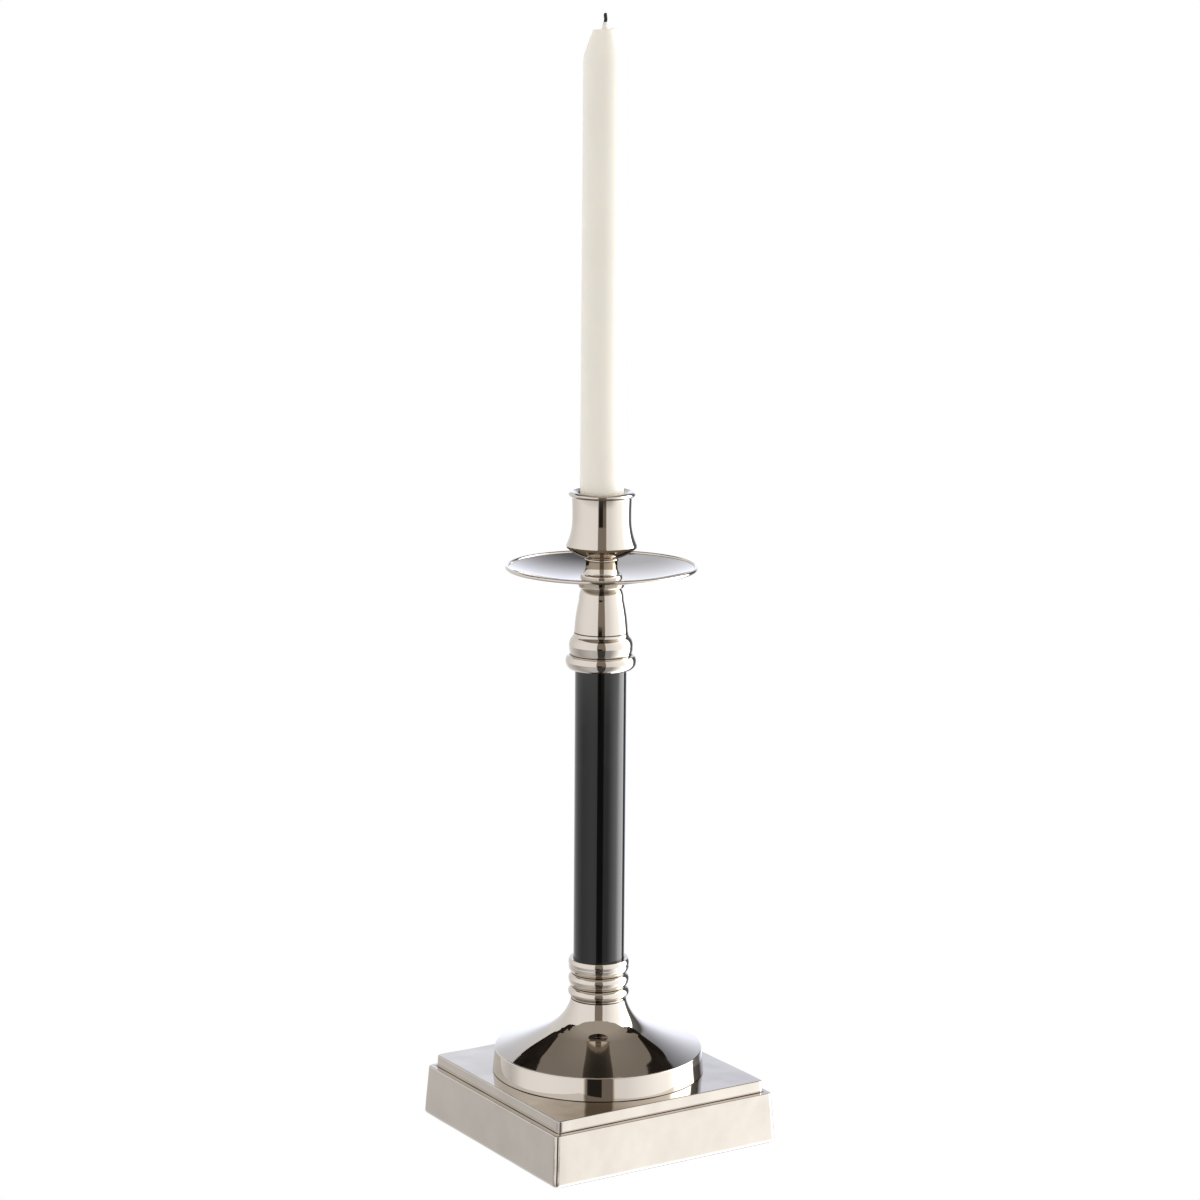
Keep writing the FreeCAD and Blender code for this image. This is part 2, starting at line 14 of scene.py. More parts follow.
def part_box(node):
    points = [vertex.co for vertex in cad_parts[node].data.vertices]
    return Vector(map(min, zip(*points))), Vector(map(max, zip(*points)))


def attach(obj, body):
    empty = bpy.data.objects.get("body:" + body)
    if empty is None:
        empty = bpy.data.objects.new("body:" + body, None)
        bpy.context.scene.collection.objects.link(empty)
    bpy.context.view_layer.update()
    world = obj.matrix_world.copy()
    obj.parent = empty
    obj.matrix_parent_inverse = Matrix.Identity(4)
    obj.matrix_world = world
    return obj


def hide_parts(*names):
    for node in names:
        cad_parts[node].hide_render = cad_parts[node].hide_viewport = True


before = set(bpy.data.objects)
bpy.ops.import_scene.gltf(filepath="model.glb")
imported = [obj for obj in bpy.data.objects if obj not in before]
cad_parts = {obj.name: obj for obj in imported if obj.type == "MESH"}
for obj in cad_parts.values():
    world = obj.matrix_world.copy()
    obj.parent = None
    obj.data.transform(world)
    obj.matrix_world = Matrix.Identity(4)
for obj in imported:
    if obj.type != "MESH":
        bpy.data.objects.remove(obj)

bl_info = {
    "name": "Plinth Candlestick",
    "version": (1, 0, 0),
    "blender": (4, 5, 0),
    "location": "3D View > Sidebar > Candlestick",
    "description": "Builds a plated candlestick with a lacquered column, its candle and a studio",
    "category": "Add Mesh",
}

MM = 0.001
FULL_TURN = 2 * math.pi
# Edges sharper than the first angle are rounded off; sharper than the second, shaded as creases
SHARP = math.radians(28)
CREASED = math.radians(35)
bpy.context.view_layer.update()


def half_width(node):
    """How far a node's box reaches from the axis, in metres."""
    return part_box(node)[1][0]


# ---------------------------------------------------------------------------------------------
# Settings that a user may change
# ---------------------------------------------------------------------------------------------


def length(name, description, default, lowest=0.0):
    """A setting for a length in metres."""
    return FloatProperty(name=name, description=description, default=default, min=lowest,
                         subtype="DISTANCE", unit="LENGTH")


def angle(name, description, degrees):
    """A setting for an angle."""
    return FloatProperty(name=name, description=description, default=math.radians(degrees),
                         subtype="ANGLE", unit="ROTATION")


def colour(name, description, default):
    """A setting for a colour."""
    return FloatVectorProperty(name=name, description=description, default=default,
                               subtype="COLOR", min=0.0, max=1.0)


class CandlestickSizes(bpy.types.PropertyGroup):
    """Sizes that shape the pieces."""

    edge_round: length("Edge Round", "Width of the small round on every turned edge", 0.14 * MM)
    ribs: IntProperty(
        name="Ribs", description="How many ribs a large turned piece has around its axis",
        default=192, min=48, max=256)
    corner_round: length("Corner Round", "Radius of the plinth's upright corners", 2.2 * MM)
    plinth_edge: length("Plinth Edge", "Radius of the plinth's level edges", 0.6 * MM)
    plinth_waves: length("Plinth Waves", "Height of the waves that hand polishing left", 0.3 * MM)
    plinth_half: length("Plinth Half Side", "Half the side of the plinth at its foot",
                        half_width("plinth"), 0.03)
    candle_slant: angle("Candle Slant", "How far the candle's flat top leans", 5.0)
    wick_twist: angle("Wick Twist", "How far the wick's strands turn over its bare end", 300)


class CandlestickColours(bpy.types.PropertyGroup):
    """Colours of the finishes, as linear values."""

    nickel: colour("Nickel", "Colour of the polished nickel plating", (0.66, 0.605, 0.543))
    lacquer: colour("Lacquer", "Colour of the column's black lacquer", (0.001, 0.001, 0.001))
    wax: colour("Wax", "Colour of the candle", (0.91, 0.87, 0.79))
    felt: colour("Felt", "Colour of the felt under the plinth", (0.012, 0.035, 0.022))


def sizes():
    """The size settings of this scene."""
    return bpy.context.scene.candlestick_sizes


def colours():
    """The colour settings of this scene."""
    return bpy.context.scene.candlestick_colours


# ---------------------------------------------------------------------------------------------
# Modelling by hand: small tools
# ---------------------------------------------------------------------------------------------


def start_piece(name, add, **where):
    """Add a primitive with nothing else selected, name it and open it for editing."""
    bpy.ops.object.select_all(action="DESELECT")
    add(**where)
    piece = bpy.context.object
    piece.name = name
    piece.data.name = name
    bpy.ops.object.transform_apply(location=True, rotation=True, scale=True)
    bpy.ops.object.mode_set(mode="EDIT")
    return piece


def pick(kind, test):
    """In edit mode, select only the verts, edges or faces that answer to a test."""
    modes = {"verts": "VERT", "edges": "EDGE", "faces": "FACE"}
    bpy.ops.mesh.select_mode(type=modes[kind])
    bpy.ops.mesh.select_all(action="DESELECT")
    mesh = bpy.context.object.data
    shape = bmesh.from_edit_mesh(mesh)
    for item in getattr(shape, kind):
        if test(item):
            item.select_set(True)
    shape.select_flush_mode()
    bmesh.update_edit_mesh(mesh)


def middle(edge):
    """The middle of an edge."""
    return (edge.verts[0].co + edge.verts[1].co) / 2


def run_of(edge):
    """The direction of an edge."""
    return (edge.verts[0].co - edge.verts[1].co).normalized()


def select_only(*pieces):
    """Select these objects and no others, and make the first one active."""
    bpy.ops.object.select_all(action="DESELECT")
    for piece in pieces:
        piece.select_set(True)
    bpy.context.view_layer.objects.active = pieces[0]


def apply_modifier(piece, kind, **settings):
    """Add a modifier with these settings to a piece and apply it at once."""
    select_only(piece)
    modifier = piece.modifiers.new(kind.title(), kind)
    for key, value in settings.items():
        setattr(modifier, key, value)
    bpy.ops.object.modifier_apply(modifier=modifier.name)


def close_piece(piece):
    """Merge doubles, turn the faces outwards and leave edit mode."""
    bpy.ops.mesh.select_mode(type="VERT")
    bpy.ops.mesh.select_all(action="SELECT")
    bpy.ops.mesh.remove_doubles(threshold=0.004 * MM)
    bpy.ops.mesh.normals_make_consistent(inside=False)
    bpy.ops.object.mode_set(mode="OBJECT")


def smooth_piece(piece, edge_round, segments=3):
    """Round the sharp edges a little and shade the piece so that its flats stay flat."""
    if edge_round:
        apply_modifier(piece, "BEVEL", width=edge_round, segments=segments,
                       limit_method="ANGLE", angle_limit=SHARP)
    select_only(piece)
    bpy.ops.object.shade_smooth_by_angle(angle=CREASED)
    apply_modifier(piece, "WEIGHTED_NORMAL", mode="FACE_AREA", weight=60, keep_sharp=True)


def arc(start, end, bend, radius, step):
    """Points after start along the short arc to end that turns left or right on the way."""
    chord = end - start
    side = Vector((-chord.y, chord.x)).normalized()
    reach = math.sqrt(max(radius ** 2 - (chord.length / 2) ** 2, 0.0))
    if bend == "right":
        reach = -reach
    centre = (start + end) / 2 + side * reach
    swing = 2 * math.asin(min(chord.length / 2 / radius, 1.0))
    count = max(4, math.ceil(swing / step))
    if bend == "right":
        swing = -swing
    return [centre + Matrix.Rotation(swing * n / count, 2) @ (start - centre)
            for n in range(1, count + 1)]


def line(start, end, longest):
    """Points after start along a straight run, no further apart than the longest step."""
    count = max(1, math.ceil((end - start).length / longest))
    return [start + (end - start) * n / count for n in range(1, count + 1)]


def rounded_outline(corners):
    """Points through (reach, height, radius) corners, each rounded off by its own radius."""
    spots = [Vector(corner[:2]) for corner in corners]
    points = [spots[0]]
    for before, spot, after, corner in zip(spots[:-2], spots[1:-1], spots[2:], corners[1:-1]):
        inward = (before - spot).normalized()
        onward = (after - spot).normalized()
        half_angle = inward.angle(onward) / 2
        cut = corner[2] / math.tan(half_angle)
        points += line(points[-1], spot + inward * cut, 3.0)
        if corner[2]:
            bend = "left" if inward.cross(onward) < 0 else "right"
            points += arc(points[-1], spot + onward * cut, bend, corner[2], math.radians(12))
    return points + line(points[-1], spots[-1], 3.0)


def outline_points(node, outline, longest):
    """The points of an outline in millimetres, fitted to a node's box, as metres."""
    low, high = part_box(node)
    widest = max(corner[0] for corner in outline)
    tallest = max(corner[1] for corner in outline)
    across = high[0] / widest
    up = (high[2] - low[2]) / tallest
    step = math.radians(4)
    points = [Vector(outline[0][:2])]
    closed = outline[0][0] > 0
    for corner in outline[1:] + (outline[:1] if closed else []):
        end = Vector(corner[:2])
        if len(corner) == 4:
            points += arc(points[-1], end, corner[2], corner[3], step)
        else:
            points += line(points[-1], end, longest)
    return [Vector((point.x * across, 0, low[2] + point.y * up)) for point in points]


def turn_piece(name, node, outline, ribs=None, longest=12.0):
    """Turn a piece on the lathe: draw its outline from one vertex, then spin it round the axis.

    An outline is a list of (radius, height) corners above the node's foot, reached by a straight
    line, or by an arc where (radius, height, "left" or "right", arc radius) is given. It closes
    on its first corner, unless it starts on the axis."""
    points = outline_points(node, outline, longest)
    piece = start_piece(name, bpy.ops.mesh.primitive_plane_add, size=MM)
    bpy.ops.mesh.select_all(action="SELECT")
    bpy.ops.mesh.merge(type="CENTER")
    bpy.ops.transform.translate(value=points[0])
    for start, end in zip(points[:-1], points[1:]):
        bpy.ops.mesh.extrude_vertices_move(TRANSFORM_OT_translate={"value": end - start})
    bpy.ops.mesh.select_all(action="SELECT")
    bpy.ops.mesh.spin(steps=ribs or sizes().ribs, angle=FULL_TURN, center=(0, 0, 0),
                      axis=(0, 0, 1))
    close_piece(piece)
    return piece


def join_pieces(piece, others):
    """Join other objects into a piece."""
    select_only(piece, *others)
    bpy.ops.object.join()


def combine(piece, tool, operation):
    """Cut a tool out of a piece or weld it on, then throw the tool away."""
    apply_modifier(piece, "BOOLEAN", operation=operation, object=tool, solver="EXACT")
    bpy.data.objects.remove(tool)


def clouds(name, size, depth=2):
    """A cloudy texture for the Displace modifier, with soft lumps of this size."""
    texture = bpy.data.textures.new(name, "CLOUDS")
    texture.noise_scale = size
    texture.noise_depth = depth
    return texture


def place(piece, body, slot, material, *nodes):
    """Give a finished piece its material and body, and let it stand for its CAD nodes. The slot is
    not used.
    """
    piece.data.materials.clear()
    piece.data.materials.append(material)
    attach(piece, body)
    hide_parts(*nodes)


# ---------------------------------------------------------------------------------------------
# Shader nodes: small tools
# ---------------------------------------------------------------------------------------------


def add(tree, kind, inputs=None, **settings):
    """Add a node, set its properties, and link or fill its inputs, given by name or number."""
    made = tree.nodes.new(kind)
    for key, value in settings.items():
        setattr(made, key, value)
    fill(tree, made.inputs, inputs or {})
    return made


def sum_of(tree, operation, *values, clamp=False):
    """The result socket of a Math node."""
    made = add(tree, "ShaderNodeMath", dict(enumerate(values)), operation=operation)
    made.use_clamp = clamp
    return made.outputs[0]


def span(tree, value, low, high, to_low=0.0, to_high=1.0, smooth=False):
    """A value carried from one range to another and held at its ends."""
    kind = "SMOOTHSTEP" if smooth else "LINEAR"
    made = add(tree, "ShaderNodeMapRange", {
        "Value": value, "From Min": low, "From Max": high, "To Min": to_low, "To Max": to_high},
        interpolation_type=kind)
    return made.outputs["Result"]


def distance_of(tree, across, up):
    """How far a place in a plane is from its origin."""
    flat = add(tree, "ShaderNodeCombineXYZ", {"X": across, "Y": up}).outputs[0]
    return add(tree, "ShaderNodeVectorMath", {0: flat}, operation="LENGTH").outputs["Value"]


def blend(tree, factor, first, second, mode="MIX"):
    """The colour between two colours."""
    made = add(tree, "ShaderNodeMix", data_type="RGBA", blend_type=mode)
    for socket, value in (("Factor_Float", factor), ("A_Color", first), ("B_Color", second)):
        target = next(item for item in made.inputs if item.identifier == socket)
        if isinstance(value, bpy.types.NodeSocket):
            tree.links.new(value, target)
        else:
            target.default_value = value
    return next(item for item in made.outputs if item.identifier == "Result_Color")


def multiply(tree, first, second):
    """The product of two colours."""
    return blend(tree, 1.0, first, second, "MULTIPLY")


def solid(colour):
    """A colour with full alpha."""
    return (*colour, 1.0)


def grey(value):
    """A grey with full alpha."""
    return solid([value] * 3)


def shade(colour, factor):
    """A colour made darker or lighter."""
    return solid([min(channel * factor, 1.0) for channel in colour])


def new_group(name, inputs, outputs):
    """A shader node group with named inputs (name, kind, default) and outputs (name, kind)."""
    tree = bpy.data.node_groups.new(name, "ShaderNodeTree")
    for label, kind, default in inputs:
        socket = tree.interface.new_socket(label, in_out="INPUT", socket_type="NodeSocket" + kind)
        if default is not None:
            socket.default_value = default
    for label, kind in outputs:
        tree.interface.new_socket(label, in_out="OUTPUT", socket_type="NodeSocket" + kind)
    source = tree.nodes.new("NodeGroupInput").outputs
    target = tree.nodes.new("NodeGroupOutput").inputs
    return tree, source, target


def noise(tree, vector, scale, detail=2.0, roughness=0.5, distortion=0.0):
    """The soft value of a Noise texture."""
    made = add(tree, "ShaderNodeTexNoise", {
        "Vector": vector, "Scale": scale, "Detail": detail, "Roughness": roughness,
        "Distortion": distortion})
    return made.outputs["Fac"]


# ---------------------------------------------------------------------------------------------
# Effects that several finishes share
# ---------------------------------------------------------------------------------------------


def group_hand_polish():
    """Broad soft waves and finer ripples that a polishing wheel leaves."""
    tree, source, target = new_group("Hand Polish", [
        ("Vector", "Vector", None), ("Broad Scale", "Float", 40.0), ("Fine Scale", "Float", 200.0),
        ("Fine Share", "Float", 0.2)], [("Height", "Float")])
    broad = noise(tree, source["Vector"], source["Broad Scale"], detail=1.0)
    fine = noise(tree, source["Vector"], source["Fine Scale"], detail=3.0)
    ripple = sum_of(tree, "MULTIPLY", fine, source["Fine Share"])
    tree.links.new(sum_of(tree, "ADD", broad, ripple), target["Height"])
    return tree


def group_lathe_marks():
    """Fine rings round the axis, left by the cutter and the polishing cloth."""
    tree, source, target = new_group("Lathe Marks", [
        ("Vector", "Vector", None), ("Rings per Metre", "Float", 900.0)], [("Height", "Float")])
    parts = add(tree, "ShaderNodeSeparateXYZ", {0: source["Vector"]}).outputs
    radius = distance_of(tree, parts["X"], parts["Y"])
    section = add(tree, "ShaderNodeCombineXYZ", {0: radius, 1: parts["Z"]}).outputs[0]
    rings = noise(tree, section, source["Rings per Metre"], detail=4.0, roughness=0.7)
    tree.links.new(rings, target["Height"])
    return tree


def group_smudges():
    """Patches where handling has left the surface a little hazy."""
    tree, source, target = new_group("Smudges", [
        ("Vector", "Vector", None), ("Scale", "Float", 30.0), ("Cover", "Float", 0.5)],
        [("Mask", "Float")])
    cloud = noise(tree, source["Vector"], source["Scale"], detail=5.0, roughness=0.6,
                  distortion=0.4)
    edge = sum_of(tree, "SUBTRACT", 1.0, source["Cover"])
    above = sum_of(tree, "SUBTRACT", cloud, edge)
    tree.links.new(sum_of(tree, "MULTIPLY", above, 4.0, clamp=True), target["Mask"])
    return tree


def group_fibres():
    """Short tangled fibres, for felt, cotton and pressed board."""
    tree, source, target = new_group("Fibres", [
        ("Vector", "Vector", None), ("Scale", "Float", 1500.0), ("Tangle", "Float", 2.0)],
        [("Height", "Float"), ("Shade", "Float")])
    base = noise(tree, source["Vector"], source["Scale"], detail=4.0, roughness=0.7)
    bent = add(tree, "ShaderNodeTexWave", {
        "Vector": source["Vector"], "Scale": source["Scale"], "Distortion": source["Tangle"],
        "Detail": 3.0}, wave_type="BANDS", bands_direction="DIAGONAL").outputs["Fac"]
    tree.links.new(sum_of(tree, "MULTIPLY", base, bent), target["Height"])
    tree.links.new(noise(tree, source["Vector"], 90.0, detail=3.0), target["Shade"])
    return tree


def group_mottle():
    """A colour that drifts softly between two tones."""
    tree, source, target = new_group("Mottle", [
        ("Vector", "Vector", None), ("Scale", "Float", 25.0), ("First", "Color", (1, 1, 1, 1)),
        ("Second", "Color", (0, 0, 0, 1))], [("Color", "Color"), ("Mask", "Float")])
    cloud = noise(tree, source["Vector"], source["Scale"], detail=4.0, roughness=0.55)
    mask = span(tree, cloud, 0.3, 0.7)
    tree.links.new(blend(tree, mask, source["First"], source["Second"]), target["Color"])
    tree.links.new(mask, target["Mask"])
    return tree


EFFECTS = {
    "Hand Polish": group_hand_polish,
    "Lathe Marks": group_lathe_marks,
    "Smudges": group_smudges,
    "Fibres": group_fibres,
    "Mottle": group_mottle,
}


def fill(tree, sockets, inputs):
    """Link or fill sockets, given by name or number."""
    for key, value in inputs.items():
        if isinstance(value, bpy.types.NodeSocket):
            tree.links.new(value, sockets[key])
        else:
            sockets[key].default_value = value


def effect(tree, name, inputs):
    """Place one of the shared effects in a material and return its outputs."""
    made = tree.nodes.new("ShaderNodeGroup")
    made.node_tree = bpy.data.node_groups.get(name) or EFFECTS[name]()
    fill(tree, made.inputs, inputs)
    return made.outputs


def bump(tree, height, distance, normal=None):
    """A Bump node's normal."""
    inputs = {"Height": height, "Distance": distance}
    if normal:
        inputs["Normal"] = normal
    return add(tree, "ShaderNodeBump", inputs).outputs["Normal"]


# ---------------------------------------------------------------------------------------------
# Finishes
# ---------------------------------------------------------------------------------------------


def new_finish(name, **settings):
    """A material with one Principled shader. Returns it, its tree, shader and position."""
    material = bpy.data.materials.new(name)
    material.use_nodes = True
    tree = material.node_tree
    shader = tree.nodes["Principled BSDF"]
    for key, value in settings.items():
        shader.inputs[key.replace("_", " ").title().replace("Ior", "IOR")].default_value = value
    position = tree.nodes.new("ShaderNodeTexCoord").outputs["Object"]
    return material, tree, shader, position


def feed(tree, shader, **sockets):
    """Link sockets to the shader's inputs, named in small letters."""
    for key, value in sockets.items():
        tree.links.new(value, shader.inputs[key.replace("_", " ").title()])


def crease_shade_mask(tree, position, creases):
    """Mask for painted shade in narrow creases at (reach, height) places in metres; reach is a
    radius for a turned piece, or half the side of a square one when it is below zero."""
    parts = add(tree, "ShaderNodeSeparateXYZ", {0: position}).outputs
    across, along = (sum_of(tree, "ABSOLUTE", parts[axis]) for axis in "XY")
    square = sum_of(tree, "MAXIMUM", across, along)
    radius = distance_of(tree, parts["X"], parts["Y"])
    mask = None
    for reach, height in creases:
        out = sum_of(tree, "SUBTRACT", square if reach < 0 else radius, abs(reach))
        up = sum_of(tree, "SUBTRACT", parts["Z"], height)
        near = span(tree, distance_of(tree, out, up), 0.45 * MM, 0.15 * MM, smooth=True)
        mask = near if mask is None else sum_of(tree, "MAXIMUM", mask, near)
    return mask


# Node, radius and height above the node's foot of each crease in the turned pieces where shade is
# painted, in millimetres
TURNED_CREASES = [
    ("foot_dome", 54.17, 0), ("ring_collar", 13.95, 3.1), ("ring_collar", 13.8, 9.5),
    ("ring_collar", 13.75, 16.5), ("bell_collar", 15.6, 7.1), ("bell_collar", 13.6, 18.3),
]


def nickel_shaded_creases(turned):
    """Where shade is painted dark into the creases of the nickel pieces."""
    if not turned:
        low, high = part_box("plinth")
        return [(-61.2 * MM, low[2] + 26.6 * MM)]
    return [(reach * MM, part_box(node)[0][2] + rise * MM) for node, reach, rise in TURNED_CREASES]


def mottle(tree, position, scale, first, second):
    """A colour that drifts between two tones."""
    return effect(tree, "Mottle", {"Vector": position, "Scale": scale, "First": first,
                                   "Second": second})["Color"]


def smudged(tree, position, scale, cover, clean, dull):
    """A roughness that rises from clean to dull where the surface is hazy."""
    haze = effect(tree, "Smudges", {"Vector": position, "Scale": scale, "Cover": cover})
    return span(tree, haze["Mask"], 0.0, 1.0, clean, dull)


def polished(tree, position, broad, fine, share, depth):
    """A normal with broad waves and fine ripples, this deep in millimetres."""
    waves = effect(tree, "Hand Polish", {"Vector": position, "Broad Scale": broad,
                                         "Fine Scale": fine, "Fine Share": share})
    return bump(tree, waves["Height"], depth * MM)


def finish_nickel(name, turned=True):
    """Polished nickel plating, turned with faint rings or flat with the waves of hand polishing,
    with painted shade in its creases and on its far reflections.
    """
    if turned:
        drift, darker, clean, dull = 22.0, 0.955, 0.028, 0.065
        waves = (55.0, 330.0, 0.05, 0.02)
    else:
        drift, darker, clean, dull = 34.0, 0.9, 0.05, 0.1
        waves = (70.0, 260.0, 0.1, 0.14)
    material, tree, shader, position = new_finish(name, metallic=1.0)
    plate = colours().nickel
    tone = mottle(tree, position, drift, solid(plate), shade(plate, darker))
    # Painted shade: the plate colour is darkened to a tenth in the narrow creases.
    painted_crease_shade = crease_shade_mask(tree, position, nickel_shaded_creases(turned))
    skin = blend(tree, painted_crease_shade, tone, shade(plate, 0.1))
    # Painted shade on reflections: where the plating is seen mirrored from further off than this,
    # its colour is painted dark brown.
    path = add(tree, "ShaderNodeLightPath").outputs
    beyond = sum_of(tree, "GREATER_THAN", path["Ray Length"], 0.1)
    far_reflection_shade = sum_of(tree, "MULTIPLY", path["Is Glossy Ray"], beyond)
    skin = blend(tree, far_reflection_shade, skin, (0.09, 0.075, 0.065, 1))
    normal = polished(tree, position, *waves)
    if turned:
        rings = effect(tree, "Lathe Marks", {"Vector": position, "Rings per Metre": 1600.0})
        normal = bump(tree, rings["Height"], 0.0015 * MM, normal)
    rough = smudged(tree, position, 36.0, 0.5, clean, dull)
    feed(tree, shader, base_color=skin, roughness=rough, normal=normal)
    return material


def finish_lacquer():
    """Black lacquer with a clear gloss and a few hazy marks."""
    material, tree, shader, position = new_finish("black_lacquer", ior=1.6)
    black = colours().lacquer
    tone = mottle(tree, position, 60.0, solid(black), shade(black, 2.2))
    rough = smudged(tree, position, 55.0, 0.55, 0.06, 0.13)
    normal = polished(tree, position, 45.0, 420.0, 0.08, 0.02)
    feed(tree, shader, base_color=tone, roughness=rough, normal=normal)
    return material


def finish_wax():
    """Ivory candle wax: faintly see-through, with soft clouds, fine pits and painted shade towards
    its edges.
    """
    material, tree, shader, position = new_finish(
        "ivory_wax", ior=1.44, subsurface_weight=0.35, subsurface_scale=3 * MM)
    shader.inputs["Subsurface Radius"].default_value = (1.0, 0.75, 0.5)
    wax = colours().wax
    tone = mottle(tree, position, 35.0, solid(wax), shade(wax, 0.97))
    # Painted shade: the wax colour is darkened towards the edges, where the surface turns away from
    # view.
    facing = add(tree, "ShaderNodeLayerWeight", {"Blend": 0.5}).outputs["Facing"]
    edge = span(tree, facing, 0.72, 0.93, smooth=True)
    skin = blend(tree, edge, tone, shade(wax, 0.8))
    rough = smudged(tree, position, 90.0, 0.45, 0.38, 0.5)
    normal = polished(tree, position, 120.0, 900.0, 0.3, 0.05)
    feed(tree, shader, base_color=skin, roughness=rough, normal=normal)
    return material


def finish_wick():
    """Cotton wick, pale inside the candle and charred at its bare end."""
    material, tree, shader, position = new_finish("charred_cotton", ior=1.4, sheen_weight=0.2)
    height = add(tree, "ShaderNodeSeparateXYZ", {0: position}).outputs["Z"]
    wax_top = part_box("candle_wax")[1][2]
    fray = effect(tree, "Fibres", {"Vector": position, "Scale": 2600.0, "Tangle": 4.0})
    ragged = sum_of(tree, "MULTIPLY_ADD", fray["Height"], 0.6 * MM, height)
    char = span(tree, ragged, wax_top - 0.6 * MM, wax_top + 0.5 * MM, smooth=True)
    cotton = blend(tree, fray["Shade"], (0.55, 0.5, 0.42, 1), (0.7, 0.66, 0.58, 1))
    burnt = blend(tree, fray["Height"], (0.006, 0.005, 0.005, 1), (0.03, 0.026, 0.023, 1))
    rough = span(tree, fray["Height"], 0.0, 1.0, 0.75, 0.95)
    normal = bump(tree, fray["Height"], 0.1 * MM)
    feed(tree, shader, base_color=blend(tree, char, cotton, burnt), roughness=rough, normal=normal)
    return material


def finish_fibres(name, weave, tones, drift, roughness, depth, **settings):
    """Felt or board: fibres between two tones, with a slow drift of shade over them."""
    material, tree, shader, position = new_finish(name, **settings)
    scale, tangle = weave
    fibres = effect(tree, "Fibres", {"Vector": position, "Scale": scale, "Tangle": tangle})
    tone = blend(tree, fibres["Height"], *tones)
    over = blend(tree, fibres["Shade"], grey(drift), grey(1))
    rough = span(tree, fibres["Height"], 0.0, 1.0, *roughness)
    normal = bump(tree, fibres["Height"], depth * MM)
    feed(tree, shader, base_color=multiply(tree, tone, over), roughness=rough, normal=normal)
    return material


def finish_felt():
    """Pressed wool felt."""
    felt = colours().felt
    return finish_fibres("pressed_felt", (900.0, 6.0), (shade(felt, 0.55), shade(felt, 1.6)), 0.85,
                         (0.85, 1.0), 0.25, ior=1.4, sheen_weight=0.6)


def finish_board():
    """Pressed hardboard with short brown fibres."""
    tones = ((0.14, 0.07, 0.035, 1), (0.3, 0.17, 0.09, 1))
    return finish_fibres("pressed_hardboard", (500.0, 8.0), tones, 0.8, (0.6, 0.8), 0.12, ior=1.45)


def finish_zinc():
    """Zinc-plated steel with bright turning rings."""
    material, tree, shader, position = new_finish("zinc_steel", metallic=1.0)
    tone = mottle(tree, position, 300.0, (0.62, 0.64, 0.66, 1), (0.5, 0.5, 0.47, 1))
    rings = effect(tree, "Lathe Marks", {"Vector": position, "Rings per Metre": 2500.0})
    rough = smudged(tree, position, 150.0, 0.5, 0.26, 0.42)
    normal = bump(tree, rings["Height"], 0.02 * MM)
    feed(tree, shader, base_color=tone, roughness=rough, normal=normal)
    return material


def finish_nylon():
    """Moulded natural nylon."""
    material, tree, shader, position = new_finish("moulded_nylon", ior=1.53,
                                                  subsurface_weight=0.1, subsurface_scale=2 * MM)
    tone = effect(tree, "Mottle", {"Vector": position, "Scale": 80.0,
                                   "First": (0.72, 0.7, 0.64, 1), "Second": (0.66, 0.63, 0.56, 1)})
    rough = span(tree, tone["Mask"], 0.0, 1.0, 0.42, 0.55)
    normal = polished(tree, position, 300.0, 2500.0, 0.6, 0.03)
    feed(tree, shader, base_color=tone["Color"], roughness=rough, normal=normal)
    return material


def finish_iron():
    """Cast iron: dark, grainy and a little rusty in patches."""
    material, tree, shader, position = new_finish("cast_iron")
    rust = effect(tree, "Smudges", {"Vector": position, "Scale": 60.0, "Cover": 0.42})["Mask"]
    tone = mottle(tree, position, 400.0, (0.09, 0.088, 0.085, 1), (0.05, 0.05, 0.05, 1))
    rough = span(tree, rust, 0.0, 1.0, 0.5, 0.85)
    metal = span(tree, rust, 0.0, 1.0, 0.85, 0.2)
    normal = polished(tree, position, 700.0, 2400.0, 0.8, 0.25)
    skin = blend(tree, rust, tone, (0.13, 0.055, 0.03, 1))
    feed(tree, shader, base_color=skin, roughness=rough, metallic=metal, normal=normal)
    return material


FINISHES = {
    "turned_nickel": lambda: finish_nickel("turned_nickel"),
    "plinth_nickel": lambda: finish_nickel("plinth_nickel", turned=False),
    "black_lacquer": finish_lacquer,
    "ivory_wax": finish_wax,
    "charred_cotton": finish_wick,
    "pressed_felt": finish_felt,
    "zinc_steel": finish_zinc,
    "moulded_nylon": finish_nylon,
    "cast_iron": finish_iron,
    "pressed_hardboard": finish_board,
}


def finish(name):
    """One of the finishes, made when it is first asked for."""
    return bpy.data.materials.get(name) or FINISHES[name]()


# ---------------------------------------------------------------------------------------------
# Operators: one for each piece or group of like pieces
# ---------------------------------------------------------------------------------------------


